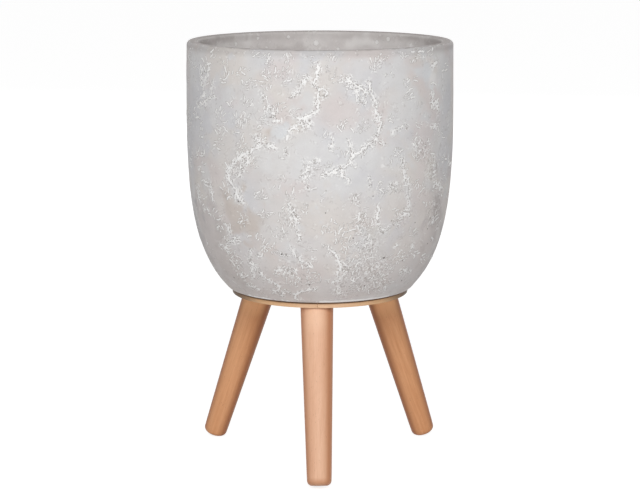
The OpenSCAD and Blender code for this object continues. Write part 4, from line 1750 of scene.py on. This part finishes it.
    def mark(self, work: Workpiece, skin: Skin, sunk: dict[int, Vector]) -> None:
        """Stores in each face the strands and the pinhole nearest to it.

        Args:
            work: The pot before its relief, in millimetres.
            skin: The pattern.
            sunk: How far each of its points will be pressed in, by its number.
        """
        layers = work.bm.faces.layers.float_color
        slots = [(layers.new(f"strand_{slot}_from"), layers.new(f"strand_{slot}_to"))
                 for slot in range(STRAND_SLOTS)]
        pit = layers.new("pit")
        base = UP * self.base_z
        for face in work.bm.faces:
            middle = face.calc_center_median() - base
            spread = max((vert.co - base - middle).length for vert in face.verts)
            pressed = sum((sunk[vert.index] for vert in face.verts), Vector())
            shift = base - pressed / len(face.verts)
            near = skin.strands.around(middle, spread + self.mark_reach, STRAND_SLOTS)
            for slot, (start, end) in enumerate(slots):
                strand = near[slot] if slot < len(near) else Strand(NOWHERE, NOWHERE, 0.0)
                face[start] = (*(strand.start + shift), strand.half)
                face[end] = (*(strand.end + shift), strand.grow)
            place, spot = min(skin.pits.near(middle), key=lambda item: (item[0] - middle).length,
                              default=(NOWHERE, None))
            face[pit] = (*(place + shift), spot.radius if spot else 0.0)

    def skin_at(self, skin: Skin, point: Vector, degrees: float,
                up: float) -> tuple[dict[str, float], Rgb]:
        """Works out what the skin is like at one point.

        Args:
            skin: The pattern.
            point: The point, in millimetres above the pot's base.
            degrees: Its direction from the front.
            up: Its height above the pot's base.

        Returns:
            The values by the names of their layers, and the tone.
        """
        depth = self.radius_at(up) - math.hypot(point.x, point.y)
        top = self.rim_z - self.base_z
        lip_up = top - self.lip_round
        inner = ease(depth, self.lip_round, self.wall_t - self.lip_round)
        if up < self.base_blend and depth > self.base_blend:
            inner = 0.0
        elif up < lip_up and depth > self.wall_t * 0.5:
            inner = 1.0
        # Painted shade below the rim outside, deeper towards the two sides, and a painted shadow
        # line at the lip's inner edge
        stray = 1.5 * noise.noise(point / 7.0)
        aside = ease(abs(degrees), 36.0, 60.0) * ease(abs(degrees), 110.0, 85.0)
        lip = (0.30 + 0.18 * aside) * ease(up, top - 11.0 - 2.0 * aside, top - 4.0)
        lip += (1.0 - lip) * ease(depth + stray, 2.0, 4.5)
        lip *= ease(up, top - 16.0, top - 4.0) * ease(depth, self.wall_t - 0.5, self.wall_t - 3.0)
        kept = {"inner": inner}
        if inner > 0.5:
            drift = noise.fractal(point / 40.0, 1.0, 2.0, 3)
            colour = blend(Tone.INNER.value, Tone.INNER_PALE.value, ease(drift, -0.3, 0.4))
            colour = skin.stained(colour, skin.smears_light_and_shade, point, degrees, up)
            # Painted shade on the inside just under the rim
            lip = max(lip, 0.30 * ease(up + 2.0 * stray, top - 13.0, top - 5.0))
            return kept, blend(colour, Tone.LIP.value, lip)
        far = skin.cracks.nearest(point)
        kept.update({"far": far, "frayed": ease(far, 4.6, 1.2), "rough": skin.rough.cover(point)})
        # A pale line along the base's edge: wear all round, and a painted highlight along the front
        chipped_and_highlit = max(ease(degrees, -6.0, 4.0) * ease(degrees, 50.0, 42.0),
                      ease(noise.noise(Vector((degrees / 14.0, 0.5, 0.5))), 0.0, 0.25) * 0.75)
        kept["worn_and_highlit"] = chipped_and_highlit * ease(up, 4.0, 2.4) * ease(depth, 4.4, 3.2)
        return kept, blend(skin.tone(point, degrees, up), Tone.LIP.value, lip)

    def sink(self, point: Vector, far: float) -> float:
        """Works out how far the skin lies below the solid, in millimetres.

        Args:
            point: The point.
            far: How far it is from the nearest crack.

        Returns:
            That depth: slow swells everywhere, and less beside the raised filler of a crack.
        """
        swell = 0.5 * (1.0 + noise.noise(point / 47.0)) + 0.25 * (1.0 + noise.noise(point / 17.0))
        return self.swell * swell + self.ridge * ease(far, 0.0, 1.4)

    def build_pot(self) -> Piece:
        """Models the pot.

        Returns:
            The pot.
        """
        work = Workpiece("cement_pot")
        work.spin(self.profile(), self.steps_round, closed=True)
        self.crowd(work)
        work.bm.verts.index_update()
        self.paint(work, Skin(self.radius_at, self.rim_z - self.base_z, self.wall_t))
        return fit(work.finish(Cement().material(), 50.0), Body.PLANTER, "cement", "pot")

    def build_plug(self) -> Piece:
        """Models the drain plug: a tapered shank and a round-edged flange with a ring on it.

        Returns:
            The plug.
        """
        shank_r = self.drain_r - self.plug_gap
        floor_z = self.base_z + self.floor_t
        flange_r, top_z = self.plug_flange[0], floor_z + self.plug_flange[1]
        low_z = self.base_z + 1.0
        edge = (flange_r - self.plug_round, top_z - self.plug_round)
        ring_in, ring_out, ring_deep = self.plug_ring
        points = [(0.0, low_z), (shank_r - self.plug_taper - 0.8, low_z),
                  (shank_r - self.plug_taper, low_z + 0.8), (shank_r, floor_z),
                  (flange_r - 0.3, floor_z)]
        points += arc(edge, self.plug_round, -35, 90, 8)
        points += [(ring_out, top_z), (ring_out - 0.2, top_z - ring_deep),
                   (ring_in + 0.2, top_z - ring_deep), (ring_in, top_z), (0.0, top_z)]
        work = Workpiece("rubber_drain_plug")
        work.spin(points, 96)
        return fit(work.finish(Rubber().material("plug_rubber")), Body.PLUG, "plug_rubber",
                   "drain_plug")

    def build(self) -> list[Piece]:
        """Makes the pot and its plug."""
        return [self.build_pot(), self.build_plug()]


@dataclass
class Legs:
    """The three turned legs.

    Attributes:
        under_z: Height of the plate's underside, where the legs are cut level, in millimetres.
    """

    under_z: float
    top_at: float = 80.5
    floor_at: float = 151.3
    top_r: float = 19.0
    foot_r: float = 14.0
    foot_round: float = 6.0
    spare: float = 12.0
    flats: int = 96
    rings: int = 24
    top_ease: float = 0.35
    screw_at: float = 84.0
    dowel_at: float = 69.5
    insert_hole: Point = (5.05, 16.0)
    dowel_hole: Point = (2.55, 10.05)

    @property
    def splay(self) -> float:
        """How far a leg leans from upright, in radians."""
        return math.atan((self.floor_at - self.top_at) / self.under_z)

    @property
    def length(self) -> float:
        """Length of a leg along its axis, from its foot to the plate's underside."""
        centre = self.foot_round + (self.foot_r - self.foot_round) * math.sin(self.splay)
        return (self.under_z - centre) / math.cos(self.splay) + self.foot_round

    def pose(self, side: Side) -> Matrix:
        """Says where a blank that stands at the origin goes.

        Args:
            side: Which leg it is.

        Returns:
            The matrix, in millimetres.
        """
        out = Matrix.Rotation(side.place, 4, "Z") @ Matrix.Translation((self.top_at, 0, 0))
        turned = out @ Matrix.Rotation(side.turn, 4, "Z") @ Matrix.Translation(UP * self.under_z)
        return turned @ Matrix.Rotation(-self.splay, 4, "Y") @ Matrix.Translation(-UP * self.length)

    def profile(self) -> list[Point]:
        """Lists the blank's outline: a flat end, a rounded foot and a straight taper.

        Returns:
            Its (radius, height) points in order.
        """
        height = self.length + self.spare
        grow = (self.top_r - self.foot_r) / self.length
        foot = arc((self.foot_r - self.foot_round, self.foot_round), self.foot_round, -90, 0, 10)
        side = [(self.foot_r + grow * z, z) for z in
                (self.foot_round + (height - self.foot_round) * i / self.rings
                 for i in range(1, self.rings + 1))]
        return [(0.0, 0.0)] + foot + side + [(0.0, height)]

    def finish_for(self, side: Side) -> Material:
        """Builds the beech of one leg, with its grain along that leg.

        Args:
            side: Which leg it is.

        Returns:
            The material.
        """
        upright = self.pose(side).inverted()
        upright.translation *= MM
        # The front leg's paler wood and top carry a painted sheen
        finish = {
            Side.FRONT: Beech(pale=srgb(240, 195, 163), deep=srgb(227, 175, 142),
                              shade_cheek=srgb(198, 136, 97), lit_crown=srgb(240, 195, 163),
                              lit_facing=-8.0, shine=0.25, foot_darkening=0.6),
            Side.LEFT: Beech(lit_facing=-12.0),
            Side.RIGHT: Beech(lit_facing=7.0),
        }[side]
        return finish.material(f"leg_wood_{side.label}", upright, 0.17 * side.place)

    def build_leg(self, side: Side) -> Piece:
        """Turns one leg, cuts it level and drills it.

        Args:
            side: Which leg it is.

        Returns:
            The leg.
        """
        work = Workpiece(f"turned_leg_{side.label}")
        work.spin(self.profile(), self.flats)
        work.place(self.pose(side))
        work.cut_above(self.under_z)
        top = [edge for edge in work.bm.edges
               if all(abs(vert.co.z - self.under_z) < WELD for vert in edge.verts)]
        work.round_edges(lambda edge: edge in top, self.top_ease, 2)
        piece = work.finish(self.finish_for(side), 30.0)
        ray = Vector((math.cos(side.place), math.sin(side.place), 0.0))
        level = UP * self.under_z
        bore(piece, [((ray * self.screw_at + level) * MM, *self.insert_hole),
                     ((ray * self.dowel_at + level) * MM, *self.dowel_hole)])
        return fit(piece, Body.STAND, "leg_wood", f"leg_{side.label}")

    def build(self) -> list[Piece]:
        """Makes all three legs."""
        return [self.build_leg(side) for side in Side]


@dataclass
class Top:
    """The plate with its edge band and the pads on it.

    Attributes:
        under_z: Height of the plate's underside, in millimetres.
        top_z: Height of its top.
    """

    under_z: float
    top_z: float
    plate_r: float = 104.0
    band_t: float = 1.0
    joint: float = 0.6
    joint_at: float = -91.6
    edge_ease: float = 0.5
    flats: int = 288
    pad_r: float = 9.0
    pad_t: float = 1.0
    pad_at: float = 84.0

    def build_band(self) -> Piece:
        """Bends the edge band round the plate, with a narrow joint where its ends meet.

        Returns:
            The band, with a UV map in metres along and across it.
        """
        ease_r = self.edge_ease
        inner_r = self.plate_r - self.band_t
        section = [(inner_r, self.under_z)]
        section += arc((self.plate_r - ease_r, self.under_z + ease_r), ease_r, -90, 0, 4)
        section += arc((self.plate_r - ease_r, self.top_z - ease_r), ease_r, 0, 90, 4)
        section += [(inner_r, self.top_z)]
        half = self.joint / 2 / self.plate_r
        work = Workpiece("edge_strip")
        bm = work.bm
        face = bm.faces.new([bm.verts.new((r, 0.0, z)) for r, z in section])
        bmesh.ops.rotate(bm, verts=bm.verts, cent=(0, 0, 0),
                         matrix=Matrix.Rotation(math.radians(self.joint_at) + half, 3, "Z"))
        bmesh.ops.spin(bm, geom=[face, *face.edges, *face.verts], cent=(0, 0, 0), axis=UP,
                       angle=math.tau - 2 * half, steps=self.flats, use_merge=False)
        work.weld()
        layer = bm.loops.layers.uv.new("strip")
        for face in bm.faces:
            for loop in face.loops:
                x, y, z = loop.vert.co
                angle = (math.atan2(y, x) - math.radians(self.joint_at)) % math.tau
                across = z + (self.plate_r - math.hypot(x, y))
                loop[layer].uv = (angle * self.plate_r * MM, across * MM)
        piece = work.finish(EdgeStrip().material(self.plate_r * MM, self.top_z * MM))
        return fit(piece, Body.STAND, "band_wood", "edge_band")

    def build_pad(self, place: PadPlace, material: Material) -> Piece:
        """Cuts one pad from rubber sheet.

        Args:
            place: Which pad it is.
            material: Its finish.

        Returns:
            The pad.
        """
        label, degrees = place.value
        angle = math.radians(degrees)
        work = Workpiece(f"rubber_pad_{label}")
        centre = Vector((self.pad_at * math.cos(angle), self.pad_at * math.sin(angle),
                         self.top_z + self.pad_t / 2))
        bmesh.ops.create_cone(work.bm, cap_ends=True, segments=64, radius1=self.pad_r,
                              radius2=self.pad_r, depth=self.pad_t,
                              matrix=Matrix.Translation(centre))
        work.round_edges(lambda edge: abs(edge.verts[0].co.z - edge.verts[1].co.z) < WELD, 0.15, 2)
        return fit(work.finish(material), Body.STAND, "pad_rubber", f"pad_{label}")

    def build(self) -> list[Piece]:
        """Dresses the plate, and makes its band and pads.

        Returns:
            The band and the pads.
        """
        dress("plate", Plywood().material(self.under_z * MM, self.top_z * MM))
        rubber = Rubber().material("pad_rubber")
        return [self.build_band()] + [self.build_pad(place, rubber) for place in PadPlace]


@dataclass
class Fixings:
    """The inserts, screws and dowels that hold the legs to the plate."""

    brass: Metal = Metal(srgb(196, 164, 104), srgb(150, 116, 66), 0.28)
    zinc: Metal = Metal(srgb(176, 178, 182), srgb(132, 132, 134), 0.30)

    def build(self) -> None:
        """Dresses all nine."""
        brass = self.brass.material("insert_brass", 1.0)
        zinc = self.zinc.material("screw_steel", 0.35)
        beech = Beech().material("dowel_wood", Matrix.Identity(4), 0.0)
        for side in Side:
            dress(f"insert_{side.label}", brass)
            dress(f"screw_{side.label}", zinc)
            dress(f"dowel_{side.label}", beech)


@dataclass
class Studio:
    """Camera, plain floor and soft light.

    Attributes:
        camera_at: The camera's place in metres.
        tilt_down: How far it looks below the horizon, in radians.
        lens: Its focal length in millimetres, on a sensor 36 mm wide.
    """

    camera_at: tuple[float, float, float] = (0.0, -2.301, 0.673)
    tilt_down: float = 0.1807
    lens: float = 110.94
    floor_half: float = 40.0
    side_light: float = 0.18
    end_light: float = 0.90
    key_level: float = 68.0
    key_size: Point = (3.2, 1.4)
    key_at: tuple[float, float, float] = (-0.1, -3.2, 2.2)
    back_at: tuple[float, float, float] = (0.4, 3.6, 1.6)
    back_level: float = 26.0
    key_aim: tuple[float, float, float] = (0.0, 0.0, 0.30)
    floor_albedo: float = 0.70
    seen_albedo: float = 0.40
    seen_glow: float = 0.82

    def set_camera(self) -> None:
        """Places the camera as the photograph's was."""
        data = bpy.data.cameras.new("camera")
        data.lens = self.lens
        data.sensor_width = 36.0
        data.sensor_fit = "HORIZONTAL"
        data.clip_end = 200.0
        camera = add("camera", data)
        camera.location = self.camera_at
        camera.rotation_euler = (math.pi / 2 - self.tilt_down, 0.0, 0.0)
        bpy.context.scene.camera = camera

    def set_lights(self) -> None:
        """Lights the object softly from the front, and less from the back."""
        self.set_panel("key", self.key_at, self.key_level)
        self.set_panel("back", self.back_at, self.back_level)

    def set_panel(self, name: str, place: Sequence[float], level: float) -> None:
        """Hangs one soft panel of light that faces the object.

        Args:
            name: Its name.
            place: Where it hangs, in metres.
            level: Its power in watts.
        """
        data = bpy.data.lights.new(name, "AREA")
        data.shape = "RECTANGLE"
        data.size, data.size_y = self.key_size
        data.energy = level
        lamp = add(name, data)
        lamp.location = place
        aim = Vector(self.key_aim) - Vector(place)
        lamp.rotation_euler = aim.to_track_quat("-Z", "Y").to_euler()

    @staticmethod
    def seen(g: Graph) -> Socket:
        """Finds the rays that show the background: from the camera, mirrored or through glass.

        Args:
            g: The material or world.

        Returns:
            1 for those rays and 0 for the others.
        """
        path = g.node("LightPath", {}).outputs
        direct = g.most(path["Is Camera Ray"], path["Is Glossy Ray"])
        return g.most(direct, path["Is Transmission Ray"])

    def set_world(self) -> None:
        """Lights the object from all round, least from its two sides, and shows white behind it."""
        g = Graph("world", "worlds")
        way = g.part(g.node("TexCoord", {}).outputs["Generated"], 1)
        level = g.maths("POWER", g.maths("ABSOLUTE", way), 2.0)
        level = g.scaled(level, self.end_light, self.side_light)
        soft = g.node("Background", {"Color": (1.0, 1.0, 1.0), "Strength": level})
        white = g.node("Background", {"Color": (1.0, 1.0, 1.0)})
        either = g.node("MixShader", {0: self.seen(g), 1: soft.outputs[0], 2: white.outputs[0]})
        g.node("OutputWorld", {0: either.outputs[0]})
        bpy.context.scene.world = g.owner

    def set_floor(self) -> None:
        """Lays a plain floor that shows white but keeps the object's shadow."""
        bm = bmesh.new()
        bmesh.ops.create_grid(bm, x_segments=1, y_segments=1, size=self.floor_half)
        floor = add("floor", as_mesh(bm, "floor"))
        g = Graph("floor")
        plain = g.node("BsdfDiffuse", {"Color": (self.floor_albedo,) * 3})
        shown = g.node("BsdfDiffuse", {"Color": (self.seen_albedo,) * 3})
        glow = g.node("Emission", {"Color": (1.0, 1.0, 1.0), "Strength": self.seen_glow})
        both = g.node("AddShader", {0: shown.outputs[0], 1: glow.outputs[0]})
        chosen = g.node("MixShader", {0: self.seen(g), 1: plain.outputs[0], 2: both.outputs[0]})
        g.node("OutputMaterial", {"Surface": chosen.outputs[0]})
        floor.data.materials.append(g.owner)

    def build(self) -> None:
        """Sets up everything round the object."""
        self.set_camera()
        self.set_lights()
        self.set_world()
        self.set_floor()
        bpy.context.scene.view_settings.view_transform = "Standard"


def main() -> None:
    """Builds the sub-assemblies in order; each new piece logs its faces as it is fitted."""
    logging.basicConfig(level=logging.INFO, format="%(message)s")
    pot_low, pot_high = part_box("pot")
    plate_low, plate_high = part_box("plate")
    Studio().build()
    Planter(pot_low.z / MM, pot_high.z / MM).build()
    Top(plate_low.z / MM, plate_high.z / MM).build()
    Legs(plate_low.z / MM).build()
    Fixings().build()


if __name__ == "__main__":
    main()
